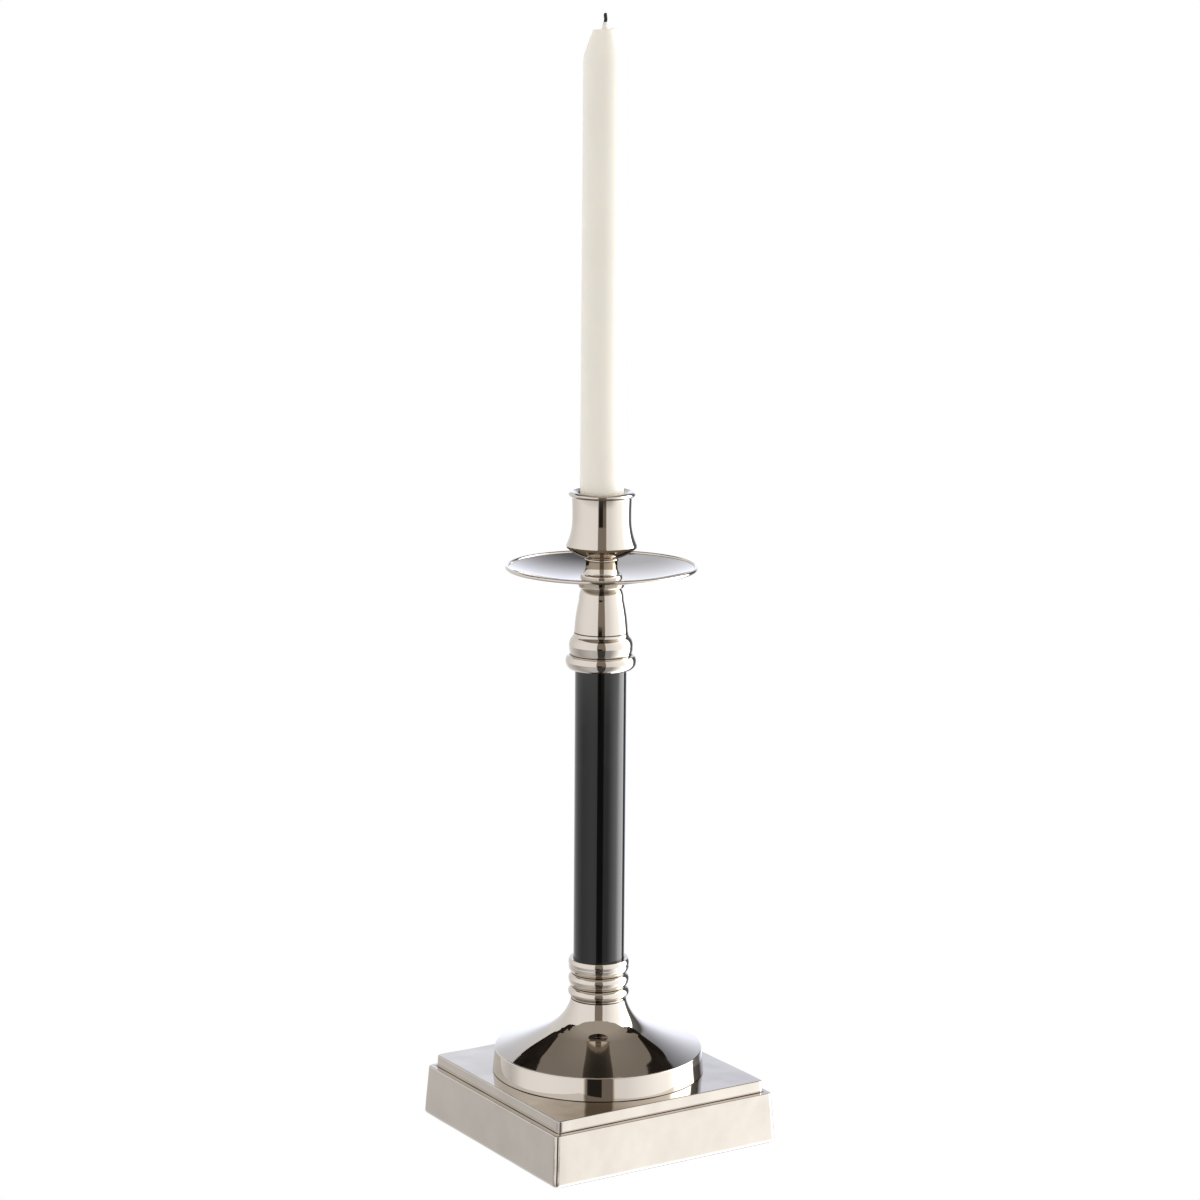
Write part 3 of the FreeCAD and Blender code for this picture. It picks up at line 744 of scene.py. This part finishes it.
class CANDLESTICK_OT_plinth(bpy.types.Operator):
    """Model the hollow square plinth with its step, locating ring, cavity and screw bosses"""

    bl_idname = "candlestick.plinth"
    bl_label = "Plinth"
    bl_options = {"REGISTER", "UNDO"}

    block_height = 26.6
    block_lean = math.radians(4.0)
    step_half = 61.2
    step_height = 6.07
    step_lean = math.radians(2.3)
    cavity_half = 60.2
    cavity_depth = 22.2
    upper_half = 56.2
    top_plate = 4.4
    seat_square = 55.0
    round_steps = 8
    ring_outer = 50.6
    ring_inner = 47.4
    ring_rise = 1.5
    rod_hole = 3.3
    boss_place = 52.0
    boss_radius = 4.6
    boss_hole = 1.5
    boss_hole_depth = 9.0
    boss_gap = 3.8
    sink = 1.0

    def execute(self, context):
        low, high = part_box("plinth")
        piece = self.draw_body(low[2])
        apply_modifier(piece, "DISPLACE", texture=clouds("plinth_waves", 0.021, 1), mid_level=0.5,
                       strength=sizes().plinth_waves)
        combine(piece, self.make_bosses(low[2]), "UNION")
        smooth_piece(piece, 0)
        place(piece, "stand", "polished_nickel", finish("plinth_nickel"), "plinth")
        return {"FINISHED"}

    def outline(self):
        """Half side and height of the walls in millimetres, from the cavity's roof, down and out
        under the wall, and up the outside to the flat round the foot."""
        half = sizes().plinth_half / MM - sizes().plinth_waves / MM / 2
        edge = sizes().plinth_edge / MM
        roof = self.block_height + self.step_height - self.top_plate
        block_top = half - self.block_height * math.tan(self.block_lean)
        top = self.block_height + self.step_height
        step_top = self.step_half - self.step_height * math.tan(self.step_lean)
        corners = [
            (self.upper_half, roof, 0), (self.upper_half, self.cavity_depth, 0),
            (self.cavity_half, self.cavity_depth, 0), (self.cavity_half, 0, 0),
            (half, 0, 4.5 * edge), (block_top, self.block_height, edge),
            (self.step_half, self.block_height, 0), (step_top, top, edge),
            (self.seat_square, top, 0),
        ]
        return rounded_outline(corners)

    def draw_body(self, bottom):
        """Extrude a rounded square through the outline, turn it round for the foot's seat and the
        rod's hole, and bridge the hole to the cavity's roof."""
        points = [Vector((across * MM, 0, bottom + up * MM)) for across, up in self.outline()]
        piece = start_piece("plinth_casting", bpy.ops.mesh.primitive_plane_add,
                            size=2 * points[0].x, location=(0, 0, points[0].z))
        bpy.ops.mesh.select_all(action="SELECT")
        bpy.ops.mesh.bevel(offset=sizes().corner_round, segments=6, affect="VERTICES")
        bpy.ops.mesh.select_all(action="SELECT")
        bpy.ops.mesh.delete(type="ONLY_FACE")
        pick("edges", lambda edge: edge.calc_length() > points[0].x)
        bpy.ops.mesh.subdivide(number_cuts=30)
        bpy.ops.mesh.select_all(action="SELECT")
        for start, end in zip(points[:-1], points[1:]):
            self.step_ring(start.x, end.x, end.z - start.z)
        plate = self.top_plate * MM
        self.round_off(piece, points[-1].x, self.ring_outer * MM)
        radius = self.ring_outer * MM
        for reach, rise in ((self.ring_outer, self.ring_rise), (self.ring_inner, 0),
                            (self.ring_inner, -self.ring_rise), (30, 0), (15, 0),
                            (self.rod_hole, 0)):
            self.step_ring(radius, reach * MM, rise * MM)
            radius = reach * MM
        self.step_ring(radius, radius, -plate)
        pick("edges", lambda edge: len(edge.link_faces) == 1)
        bpy.ops.mesh.bridge_edge_loops(number_cuts=4, interpolation="LINEAR")
        close_piece(piece)
        return piece

    def step_ring(self, reach, new_reach, rise):
        """Extrude the newest ring up or down and draw it in or out to its new reach."""
        bpy.ops.mesh.extrude_edges_move(TRANSFORM_OT_translate={"value": (0, 0, rise)})
        factor = new_reach / reach
        if factor != 1:
            bpy.ops.transform.resize(value=(factor, factor, 1), center_override=(0, 0, 0))

    def round_off(self, piece, reach, radius):
        """Extrude the newest ring inwards in steps that pull it from a square into a circle."""
        for step in range(self.round_steps):
            self.step_ring(reach, reach, 0)
            shape = bmesh.from_edit_mesh(piece.data)
            share = 1 / (self.round_steps - step)
            for vert in shape.verts:
                if vert.select:
                    circle = Vector((vert.co.x, vert.co.y, 0)).normalized() * radius
                    circle.z = vert.co.z
                    vert.co = vert.co.lerp(circle, share)
            bmesh.update_edit_mesh(piece.data)

    def make_bosses(self, bottom):
        """Four bored bosses that hang from the cavity's roof and take the board's screws."""
        roof = bottom + (self.block_height + self.step_height - self.top_plate + self.sink) * MM
        foot = bottom + self.boss_gap * MM
        bosses = []
        for x, y in ((-1, -1), (1, -1), (1, 1), (-1, 1)):
            boss = start_piece(
                "boss", bpy.ops.mesh.primitive_cylinder_add, vertices=32,
                radius=self.boss_radius * MM, depth=roof - foot,
                location=(x * self.boss_place * MM, y * self.boss_place * MM, (roof + foot) / 2))
            pick("faces", lambda face: face.normal.z < -0.9)
            bpy.ops.mesh.inset(thickness=(self.boss_radius - self.boss_hole) * MM, depth=0)
            bpy.ops.mesh.extrude_region_move(
                TRANSFORM_OT_translate={"value": (0, 0, self.boss_hole_depth * MM)})
            close_piece(boss)
            bosses.append(boss)
        join_pieces(bosses[0], bosses[1:])
        return bosses[0]


class TurnedPieces:
    """Outlines of turned pieces by name, and how they are spun, rounded, finished and placed"""

    bl_options = {"REGISTER", "UNDO"}

    ribs = 128
    longest = 12.0
    rounding = 1
    slot = "polished_nickel"
    coat = "turned_nickel"

    def execute(self, context):
        for name, (node, outline) in self.pieces.items():
            piece = turn_piece(name, node, outline, self.ribs, self.longest)
            smooth_piece(piece, sizes().edge_round * self.rounding)
            place(piece, "stand", self.slot, finish(self.coat), node)
        return {"FINISHED"}


class CANDLESTICK_OT_foot(TurnedPieces, bpy.types.Operator):
    """Turn the hollow foot: an upright band, a slightly hollow slope and a sweep up to the neck"""

    bl_idname = "candlestick.foot"
    bl_label = "Foot"

    ribs = None
    longest = 3.0
    pieces = {"foot_casting": ("foot_dome", [
        (50.9, 0), (54.17, 0), (53.07, 11.23), (52.4, 11.98, "left", 0.7),
        (26.6, 22.13, "right", 190), (14.16, 37.63, "right", 23), (9, 37.63), (9, 32.33),
        (10.9, 32.33), (25.4, 19.73, "left", 22), (50.9, 10.13)])}


class CANDLESTICK_OT_collars(TurnedPieces, bpy.types.Operator):
    """Turn the ring collar under the column, and the bell collar and pan seat above it"""

    bl_idname = "candlestick.collars"
    bl_label = "Collars"

    pieces = {
        "ring_collar_turning": ("ring_collar", [
            (3.3, 0), (8.95, 0), (8.95, 3), (13.9, 3), (13.9, 4), (15.7, 6.25, "left", 3.4),
            (13.8, 9.5, "left", 3.4), (15.55, 13.1, "left", 4.6), (13.75, 16.5, "left", 3.4),
            (15.5, 20.9, "left", 4.6), (14.9, 24.3, "left", 4.6), (13.05, 24.3), (13.05, 18.5),
            (3.3, 18.5)]),
        "bell_collar_turning": ("bell_collar", [
            (13.05, 0), (16.4, 0), (17.84, 2.95, "left", 4.2), (17.1, 6.55, "left", 5.6),
            (15.5, 7.15), (16.14, 10.95, "left", 9), (14.7, 16.05, "left", 7),
            (13.6, 18.35, "right", 3.4), (11.3, 34.95, "left", 90), (9.9, 40.95, "left", 12),
            (3.3, 40.95), (3.3, 10.55), (13.05, 10.55)]),
        "pan_seat_turning": ("pan_seat", [
            (3.3, 0), (10, 0), (11.2, 1.2, "left", 1.2), (11.2, 2.6), (3.3, 2.6)]),
    }


class CANDLESTICK_OT_column(TurnedPieces, bpy.types.Operator):
    """Turn the black lacquered column tube"""

    bl_idname = "candlestick.column"
    bl_label = "Column"

    slot = "black_enamel"
    coat = "black_lacquer"
    pieces = {"lacquered_column": ("column_tube", [(11.5, 0), (13, 0), (13, 167), (11.5, 167)])}


class CANDLESTICK_OT_pan(TurnedPieces, bpy.types.Operator):
    """Spin the thin dished drip pan with its rolled edge"""

    bl_idname = "candlestick.pan"
    bl_label = "Drip Pan"

    ribs = None
    rounding = 0
    pieces = {"drip_pan_spinning": ("drip_pan", [
        (3.3, 0), (14, 0), (47.4, 6.7, "left", 110), (48.4, 7.7, "left", 1),
        (47.4, 8.7, "left", 1), (46.4, 7.7, "left", 1), (14, 1, "right", 110), (3.3, 1)])}


class CANDLESTICK_OT_cup(TurnedPieces, bpy.types.Operator):
    """Turn the short baluster stem and the candle cup with its beaded mouth"""

    bl_idname = "candlestick.cup"
    bl_label = "Stem and Cup"

    pieces = {
        "stem_turning": ("cup_stem", [
            (3.3, 0), (9.4, 0), (10.4, 1.9, "left", 1.5), (9.2, 3.5, "left", 1.5),
            (7.9, 7.1, "right", 6), (7.9, 9.9), (8.2, 11.4, "left", 0.9), (3.3, 11.4)]),
        "cup_turning": ("candle_cup", [
            (0, 5.6), (3, 5.6), (3, 0), (8.2, 0), (12.9, 1.9, "left", 26),
            (17.3, 5.1, "left", 30), (17.9, 6.6, "left", 2.2), (14.9, 19.6, "right", 30),
            (14.9, 24.6), (15.1, 30.9), (16.85, 32.25, "left", 1.45), (14.9, 33.6, "left", 2),
            (13.3, 32.8), (11.4, 29.2, "left", 4.4), (11.4, 7.1), (0, 7.1)]),
    }


class CANDLESTICK_OT_candle(bpy.types.Operator):
    """Cast the dinner candle, with a slanted top and a small cone of wax round the wick"""

    bl_idname = "candlestick.candle"
    bl_label = "Candle"
    bl_options = {"REGISTER", "UNDO"}

    outline = [
        (0.95, 0), (10.2, 0), (11, 0.8), (11, 26.4), (10.64, 237.4), (9.98, 241.2, "left", 12),
        (6.3, 251.7), (5.3, 252.8, "left", 1.1), (1.9, 252.8), (1.15, 256), (0.95, 256),
    ]
    unevenness = 0.1 * MM
    edge = 0.25 * MM
    flat_top = 4.3 * MM

    def execute(self, context):
        piece = turn_piece("dinner_candle", "candle_wax", self.outline, ribs=96, longest=3.0)
        self.slant_top(piece)
        apply_modifier(piece, "BEVEL", width=self.edge, segments=3, limit_method="ANGLE",
                       angle_limit=SHARP)
        apply_modifier(piece, "DISPLACE", texture=clouds("wax_lumps", 0.03), mid_level=0.5,
                       strength=self.unevenness)
        smooth_piece(piece, 0)
        place(piece, "candle", "wax", finish("ivory_wax"), "candle_wax")
        return {"FINISHED"}

    def slant_top(self, piece):
        """Lean the flat top a little to one side."""
        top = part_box("candle_wax")[1][2] - self.flat_top
        bpy.ops.object.mode_set(mode="EDIT")
        pick("verts", lambda vert: vert.co.z > top)
        view = Vector((math.cos(CAMERA_TURN), math.sin(CAMERA_TURN), 0))
        for vert in bmesh.from_edit_mesh(piece.data).verts:
            if vert.select:
                vert.co.z += vert.co.dot(view) * math.tan(sizes().candle_slant)
        bmesh.update_edit_mesh(piece.data)
        bpy.ops.object.mode_set(mode="OBJECT")


class CANDLESTICK_OT_wick(bpy.types.Operator):
    """Twist the wick's three strands above a plain core that runs down the candle"""

    bl_idname = "candlestick.wick"
    bl_label = "Wick"
    bl_options = {"REGISTER", "UNDO"}

    strands = 3
    strand_radius = 0.46 * MM
    strand_place = 0.45 * MM
    bare_start = 9.5 * MM
    steps = 36

    def execute(self, context):
        low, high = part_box("candle_wick")
        core_top = high[2] - self.bare_start + MM
        core = start_piece("wick_core", bpy.ops.mesh.primitive_cylinder_add, vertices=24,
                           radius=0.9 * MM, depth=core_top - low[2],
                           location=(0, 0, (low[2] + core_top) / 2))
        pick("faces", lambda face: abs(face.normal.z) > 0.9)
        bpy.ops.mesh.bevel(offset=0.2 * MM, segments=2, affect="EDGES")
        close_piece(core)
        pieces = [self.twist_strand(number, high[2]) for number in range(self.strands)]
        piece = pieces[0]
        join_pieces(piece, pieces[1:] + [core])
        piece.name = "braided_wick"
        piece.data.name = "braided_wick"
        smooth_piece(piece, 0)
        place(piece, "candle", "wick", finish("charred_cotton"), "candle_wick")
        return {"FINISHED"}

    def twist_strand(self, number, top):
        """One strand: a small circle extruded upwards in steps that turn about the axis."""
        angle = FULL_TURN * number / self.strands
        start = top - self.bare_start
        strand = start_piece(
            "wick_strand", bpy.ops.mesh.primitive_circle_add, vertices=12,
            radius=self.strand_radius, fill_type="NGON",
            location=(self.strand_place * math.cos(angle), self.strand_place * math.sin(angle),
                      start))
        bpy.ops.mesh.select_all(action="SELECT")
        rise = (self.bare_start - 0.1 * MM) / self.steps
        turn = Matrix.Rotation(sizes().wick_twist / self.steps, 4, "Z")
        for step in range(self.steps):
            bpy.ops.mesh.extrude_region_move(TRANSFORM_OT_translate={"value": (0, 0, rise)})
            shape = bmesh.from_edit_mesh(strand.data)
            spread = 1 + 0.012 * math.sin(step * 1.7 + number)
            if step > self.steps - 4:
                spread = 0.88
            for vert in shape.verts:
                if vert.select:
                    vert.co = turn @ vert.co
                    vert.co.x *= spread
                    vert.co.y *= spread
            bmesh.update_edit_mesh(strand.data)
        close_piece(strand)
        return strand


class CANDLESTICK_OT_felt(bpy.types.Operator):
    """Cut the felt pad with rounded corners and a soft, uneven nap"""

    bl_idname = "candlestick.felt"
    bl_label = "Felt Pad"
    bl_options = {"REGISTER", "UNDO"}

    corner = 2.0 * MM
    nap = 0.12 * MM

    def execute(self, context):
        low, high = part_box("felt_pad")
        depth = high[2] - low[2] - self.nap
        piece = start_piece("felt_base", bpy.ops.mesh.primitive_cube_add, size=1,
                            location=(0, 0, low[2] + self.nap / 2 + depth / 2),
                            scale=(2 * high[0] - self.nap, 2 * high[1] - self.nap, depth))
        pick("faces", lambda face: abs(face.normal.z) > 0.9)
        for thickness in (3.0, 8.0, 12.0, 16.0):
            bpy.ops.mesh.inset(thickness=thickness * MM, depth=0)
        rim = high[0] - MM
        pick("edges", lambda edge: abs(run_of(edge).z) > 0.8 and abs(middle(edge).x) > rim)
        bpy.ops.mesh.bevel(offset=self.corner, segments=6, affect="EDGES")
        close_piece(piece)
        apply_modifier(piece, "SUBSURF", subdivision_type="SIMPLE", levels=2, render_levels=2)
        apply_modifier(piece, "DISPLACE", texture=clouds("felt_nap", 0.004), mid_level=0.5,
                       strength=self.nap)
        smooth_piece(piece, 0)
        place(piece, "stand", "felt", finish("pressed_felt"), "felt_pad")
        return {"FINISHED"}


class CANDLESTICK_OT_fixings(bpy.types.Operator):
    """Give the hidden rod, nut, washers, screws, bushes, ballast and board their finishes"""

    bl_idname = "candlestick.fixings"
    bl_label = "Hidden Fixings"
    bl_options = {"REGISTER", "UNDO"}

    nodes = {
        "zinc_steel": "tie_rod rod_nut rod_washer lock_washer board_screws",
        "moulded_nylon": "lower_bush upper_bush",
        "cast_iron": "ballast_disc",
        "pressed_hardboard": "base_board",
        "plinth_nickel": "plinth",
        "turned_nickel": "foot_dome ring_collar bell_collar pan_seat drip_pan cup_stem candle_cup",
        "black_lacquer": "column_tube",
        "pressed_felt": "felt_pad",
        "ivory_wax": "candle_wax",
        "charred_cotton": "candle_wick",
    }

    def execute(self, context):
        for name, nodes in self.nodes.items():
            for node in nodes.split():
                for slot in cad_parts[node].material_slots:
                    slot.material = finish(name)
        return {"FINISHED"}


# ---------------------------------------------------------------------------------------------
# Studio
# ---------------------------------------------------------------------------------------------

CAMERA_TURN = math.radians(-32.3)
CAMERA_DISTANCE = 1.56146
CAMERA_HEIGHT = 0.55628
CAMERA_PITCH = 0.1769
CAMERA_ROLL = 0.0073
CAMERA_LENS = 95.05
CAMERA_SHIFT = -0.0011

# Brightness of the walls round the object, by degrees to the right of the camera
WALLS = [
    (-180, 1.3), (-170, 1.3), (-167, 1.2), (-164, 1.0), (-158, 0.9), (-130, 0.88), (-118, 0.92),
    (-105, 1.0), (-80, 1.1), (-55, 1.12), (-15, 1.08), (-13.5, 0.26), (16, 0.26), (17.5, 0.97),
    (31, 1.0), (40, 1.1), (58, 1.3), (68, 1.42), (80, 1.5), (88, 1.7), (92, 3.2), (100, 4.6),
    (125, 4.6), (128, 0.2), (147, 0.1), (150, 0.3), (156, 0.9), (165, 1.2), (172, 1.3),
    (180, 1.3),
]
# Brightness of the table beside and in front of the object
LOW_WALLS = [
    (-180, 1.3), (-150, 1.0), (-130, 0.8), (-84, 0.48), (-37, 0.7), (-13, 0.66), (-11.5, 0.06),
    (14.5, 0.06), (17, 0.38), (37, 0.43), (50, 0.85), (65, 1.45), (80, 2.0), (98, 4.3),
    (125, 4.0), (128, 0.25), (147, 0.15), (156, 0.8), (165, 1.1), (180, 1.3),
]
BRIGHTEST = 5.0
HIGHEST = 100.0
# Height in degrees of the walls' top and of the dark strip's top, by degrees to the right
WALL_TOPS = [
    (-180, 45), (-167, 41), (-160, 32), (-135, 35), (-108, 38.5), (-88, 50), (95, 50), (120, 40),
    (140, 36), (157, 34.5), (166, 42), (180, 45),
]
STRIP_TOPS = [
    (-180, 48.5), (-166, 46), (-158, 42), (-135, 45), (-108, 48.5), (120, 48.5), (140, 46),
    (157, 42.5), (166, 46), (180, 48.5),
]


def around(stops, scale):
    """Stops by degrees to the right of the camera as places on a ramp, with scaled values."""
    return [((at + 180) / 360, value / scale) for at, value in stops]


def ramp(tree, factor, stops, interpolation="LINEAR"):
    """A grey ramp through (place, brightness) stops, as a value."""
    made = add(tree, "ShaderNodeValToRGB", {"Fac": factor})
    made.color_ramp.interpolation = interpolation
    elements = made.color_ramp.elements
    elements.remove(elements[0])
    for number, (at, value) in enumerate(stops):
        element = elements[0] if number == 0 else elements.new(at)
        element.position = at
        element.color = grey(value)
    return made.outputs["Color"]


def tint_part(tree, share, colour, tint):
    """A colour tinted over a share of its extent."""
    return blend(tree, share, colour, multiply(tree, colour, tint))


def group_studio():
    """The studio round the object: side walls, a key light, a gap in front and a ceiling."""
    tree, source, target = new_group("Studio", [("Vector", "Vector", None)], [("Color", "Color")])
    front = add(tree, "ShaderNodeVectorRotate", {"Vector": source["Vector"],
                                                 "Angle": -CAMERA_TURN},
                rotation_type="Z_AXIS").outputs[0]
    parts = add(tree, "ShaderNodeSeparateXYZ", {0: front}).outputs
    away = sum_of(tree, "MULTIPLY", parts["Y"], -1.0)
    side = sum_of(tree, "ARCTAN2", parts["X"], away)
    turn = sum_of(tree, "MULTIPLY_ADD", side, 1 / FULL_TURN, 0.5)
    rise = sum_of(tree, "MULTIPLY", sum_of(tree, "ARCSINE", parts["Z"]), 180 / math.pi)
    walls, low_walls = (
        multiply(tree, ramp(tree, turn, around(stops, BRIGHTEST)), grey(BRIGHTEST))
        for stops in (WALLS, LOW_WALLS))
    # The gap in front of the object is brown above the table and nearly black below the camera.
    low_gap = ramp(tree, turn, [(0, 1), (168 / 360, 0.08), (183 / 360, 0.75), (196 / 360, 1)],
                   "CONSTANT")
    below = span(tree, rise, 1.5, -1.5)
    gap = blend(tree, below, grey(1), low_gap)
    tinted = multiply(tree, walls, gap)
    brown = ramp(tree, turn, [(0, 0), (165.5 / 360, 1), (197 / 360, 0)], "CONSTANT")
    tinted = tint_part(tree, brown, tinted, (1, 0.87, 0.73, 1))
    left_low = sum_of(tree, "MULTIPLY", span(tree, turn, 100 / 360, 75 / 360),
                      span(tree, rise, -3, -8))
    tinted = tint_part(tree, left_low, tinted, (0.98, 0.97, 0.95, 1))
    tinted = blend(tree, span(tree, rise, -11, -12.4), tinted, low_walls)
    # Behind the object the light is a little bluer, and fades upwards.
    right_back = span(tree, turn, 328 / 360, 336 / 360)
    left_back = span(tree, turn, 24 / 360, 14 / 360)
    right_fade = sum_of(tree, "MULTIPLY", right_back, span(tree, rise, 8, 42))
    left_fade = sum_of(tree, "MULTIPLY", left_back, span(tree, rise, 5, 35))
    faded = tinted
    for share, tint in ((right_back, (0.95, 1.01, 1.18, 1)), (left_back, (0.95, 1.01, 1.15, 1)),
                        (right_fade, grey(0.12)), (left_fade, grey(0.5))):
        faded = tint_part(tree, share, faded, tint)
    # Jagged dark strips part the walls from the ceiling.
    wall_top, strip_top = (
        sum_of(tree, "MULTIPLY", ramp(tree, turn, around(stops, HIGHEST)), HIGHEST)
        for stops in (WALL_TOPS, STRIP_TOPS))
    rag = noise(tree, front, 5.0, detail=1.0, roughness=0.5)
    swing = span(tree, wall_top, 50.0, 41.0, 0.8, 6.0)
    jag = sum_of(tree, "MULTIPLY", span(tree, rag, 0.3, 0.7, -1.0, 1.0), swing)
    ragged_top = sum_of(tree, "MULTIPLY_ADD", jag, 0.25, rise)
    over_wall = sum_of(tree, "GREATER_THAN", ragged_top, wall_top)
    over_strip = sum_of(tree, "GREATER_THAN", sum_of(tree, "ADD", rise, jag), strip_top)
    strip = blend(tree, noise(tree, front, 14.0), grey(0), (0.04, 0.032, 0.027, 1))
    height = span(tree, parts["Y"], 0.6, -0.1)
    ceiling = blend(tree, height, (0.25, 0.222, 0.192, 1), (0.45, 0.415, 0.365, 1))
    lower = blend(tree, over_wall, faded, strip)
    tree.links.new(blend(tree, over_strip, lower, ceiling), target["Color"])
    return tree


class CANDLESTICK_OT_stage(bpy.types.Operator):
    """Set up the studio: pale floor, walls and ceiling of soft light, and the camera"""

    bl_idname = "candlestick.stage"
    bl_label = "Studio"
    bl_options = {"REGISTER", "UNDO"}

    floor_size = 12.0
    floor_drop = 0.02 * MM

    def execute(self, context):
        self.make_floor()
        self.make_world(context.scene)
        self.make_camera(context.scene)
        context.scene.view_settings.view_transform = "Standard"
        return {"FINISHED"}

    def make_floor(self):
        """A plain white sheet that only the camera sees, so that it stays free of shade."""
        floor = start_piece("studio_floor", bpy.ops.mesh.primitive_plane_add,
                            size=self.floor_size, location=(0, 0, -self.floor_drop))
        bpy.ops.object.mode_set(mode="OBJECT")
        material = bpy.data.materials.new("white_sheet")
        material.use_nodes = True
        tree = material.node_tree
        tree.nodes.clear()
        glow = add(tree, "ShaderNodeEmission", {"Color": (1, 1, 1, 1), "Strength": 1.0})
        add(tree, "ShaderNodeOutputMaterial", {"Surface": glow.outputs[0]})
        floor.data.materials.append(material)
        for rays in ("glossy", "diffuse", "transmission", "shadow"):
            setattr(floor, "visible_" + rays, False)

    def make_world(self, scene):
        """Light the object with the studio, and show the camera a plain white background."""
        world = bpy.data.worlds.new("studio")
        world.use_nodes = True
        tree = world.node_tree
        tree.nodes.clear()
        EFFECTS["Studio"] = group_studio
        direction = add(tree, "ShaderNodeTexCoord").outputs["Generated"]
        studio = effect(tree, "Studio", {"Vector": direction})
        path = add(tree, "ShaderNodeLightPath").outputs
        again = sum_of(tree, "GREATER_THAN", path["Glossy Depth"], 1.5)
        height = add(tree, "ShaderNodeSeparateXYZ", {0: direction}).outputs["Z"]
        level_light = sum_of(tree, "MULTIPLY", span(tree, height, 0.0, 0.1),
                             span(tree, height, 0.52, 0.44))
        twice = blend(tree, level_light, (0.66, 0.62, 0.57, 1), grey(0.95))
        light_seen = tint_part(tree, again, studio["Color"], twice)
        light_seen = tint_part(tree, path["Is Diffuse Ray"], light_seen, grey(1.2))
        colour = blend(tree, path["Is Camera Ray"], light_seen, grey(1))
        light = add(tree, "ShaderNodeBackground", {"Color": colour, "Strength": 1.0})
        add(tree, "ShaderNodeOutputWorld", {"Surface": light.outputs[0]})
        scene.world = world

    def make_camera(self, scene):
        """Stand the camera in front of one corner of the plinth, looking slightly down."""
        bpy.ops.object.camera_add()
        camera = bpy.context.object
        camera.name = "studio_camera"
        turn = Matrix.Rotation(CAMERA_TURN, 4, "Z")
        pitch = Matrix.Rotation(math.pi / 2 - CAMERA_PITCH, 4, "X")
        roll = Matrix.Rotation(CAMERA_ROLL, 4, "Z")
        place_at = turn @ Vector((0, -CAMERA_DISTANCE, CAMERA_HEIGHT))
        camera.matrix_world = Matrix.Translation(place_at) @ turn @ pitch @ roll
        camera.data.sensor_width = 36.0
        camera.data.lens = CAMERA_LENS
        camera.data.shift_x = CAMERA_SHIFT
        scene.camera = camera


class CANDLESTICK_PT_panel(bpy.types.Panel):
    """Settings and buttons in the sidebar"""

    bl_idname = "CANDLESTICK_PT_panel"
    bl_label = "Candlestick"
    bl_space_type = "VIEW_3D"
    bl_region_type = "UI"
    bl_category = "Candlestick"

    def draw(self, context):
        layout = self.layout
        for settings in (context.scene.candlestick_sizes, context.scene.candlestick_colours):
            box = layout.box()
            for name in settings.__annotations__:
                box.prop(settings, name)
        for operator in OPERATORS:
            layout.operator(operator.bl_idname)


SETTINGS = (CandlestickSizes, CandlestickColours)
OPERATORS = (
    CANDLESTICK_OT_plinth,
    CANDLESTICK_OT_foot,
    CANDLESTICK_OT_collars,
    CANDLESTICK_OT_column,
    CANDLESTICK_OT_pan,
    CANDLESTICK_OT_cup,
    CANDLESTICK_OT_candle,
    CANDLESTICK_OT_wick,
    CANDLESTICK_OT_felt,
    CANDLESTICK_OT_fixings,
    CANDLESTICK_OT_stage,
)
CLASSES = SETTINGS + OPERATORS + (CANDLESTICK_PT_panel,)


def register():
    for item in CLASSES:
        bpy.utils.register_class(item)
    bpy.types.Scene.candlestick_sizes = PointerProperty(type=CandlestickSizes)
    bpy.types.Scene.candlestick_colours = PointerProperty(type=CandlestickColours)


def unregister():
    del bpy.types.Scene.candlestick_colours
    del bpy.types.Scene.candlestick_sizes
    for item in reversed(CLASSES):
        bpy.utils.unregister_class(item)


def main():
    register()
    bpy.ops.candlestick.plinth()
    bpy.ops.candlestick.foot()
    bpy.ops.candlestick.collars()
    bpy.ops.candlestick.column()
    bpy.ops.candlestick.pan()
    bpy.ops.candlestick.cup()
    bpy.ops.candlestick.candle()
    bpy.ops.candlestick.wick()
    bpy.ops.candlestick.felt()
    bpy.ops.candlestick.fixings()
    bpy.ops.candlestick.stage()


if __name__ == "__main__":
    main()
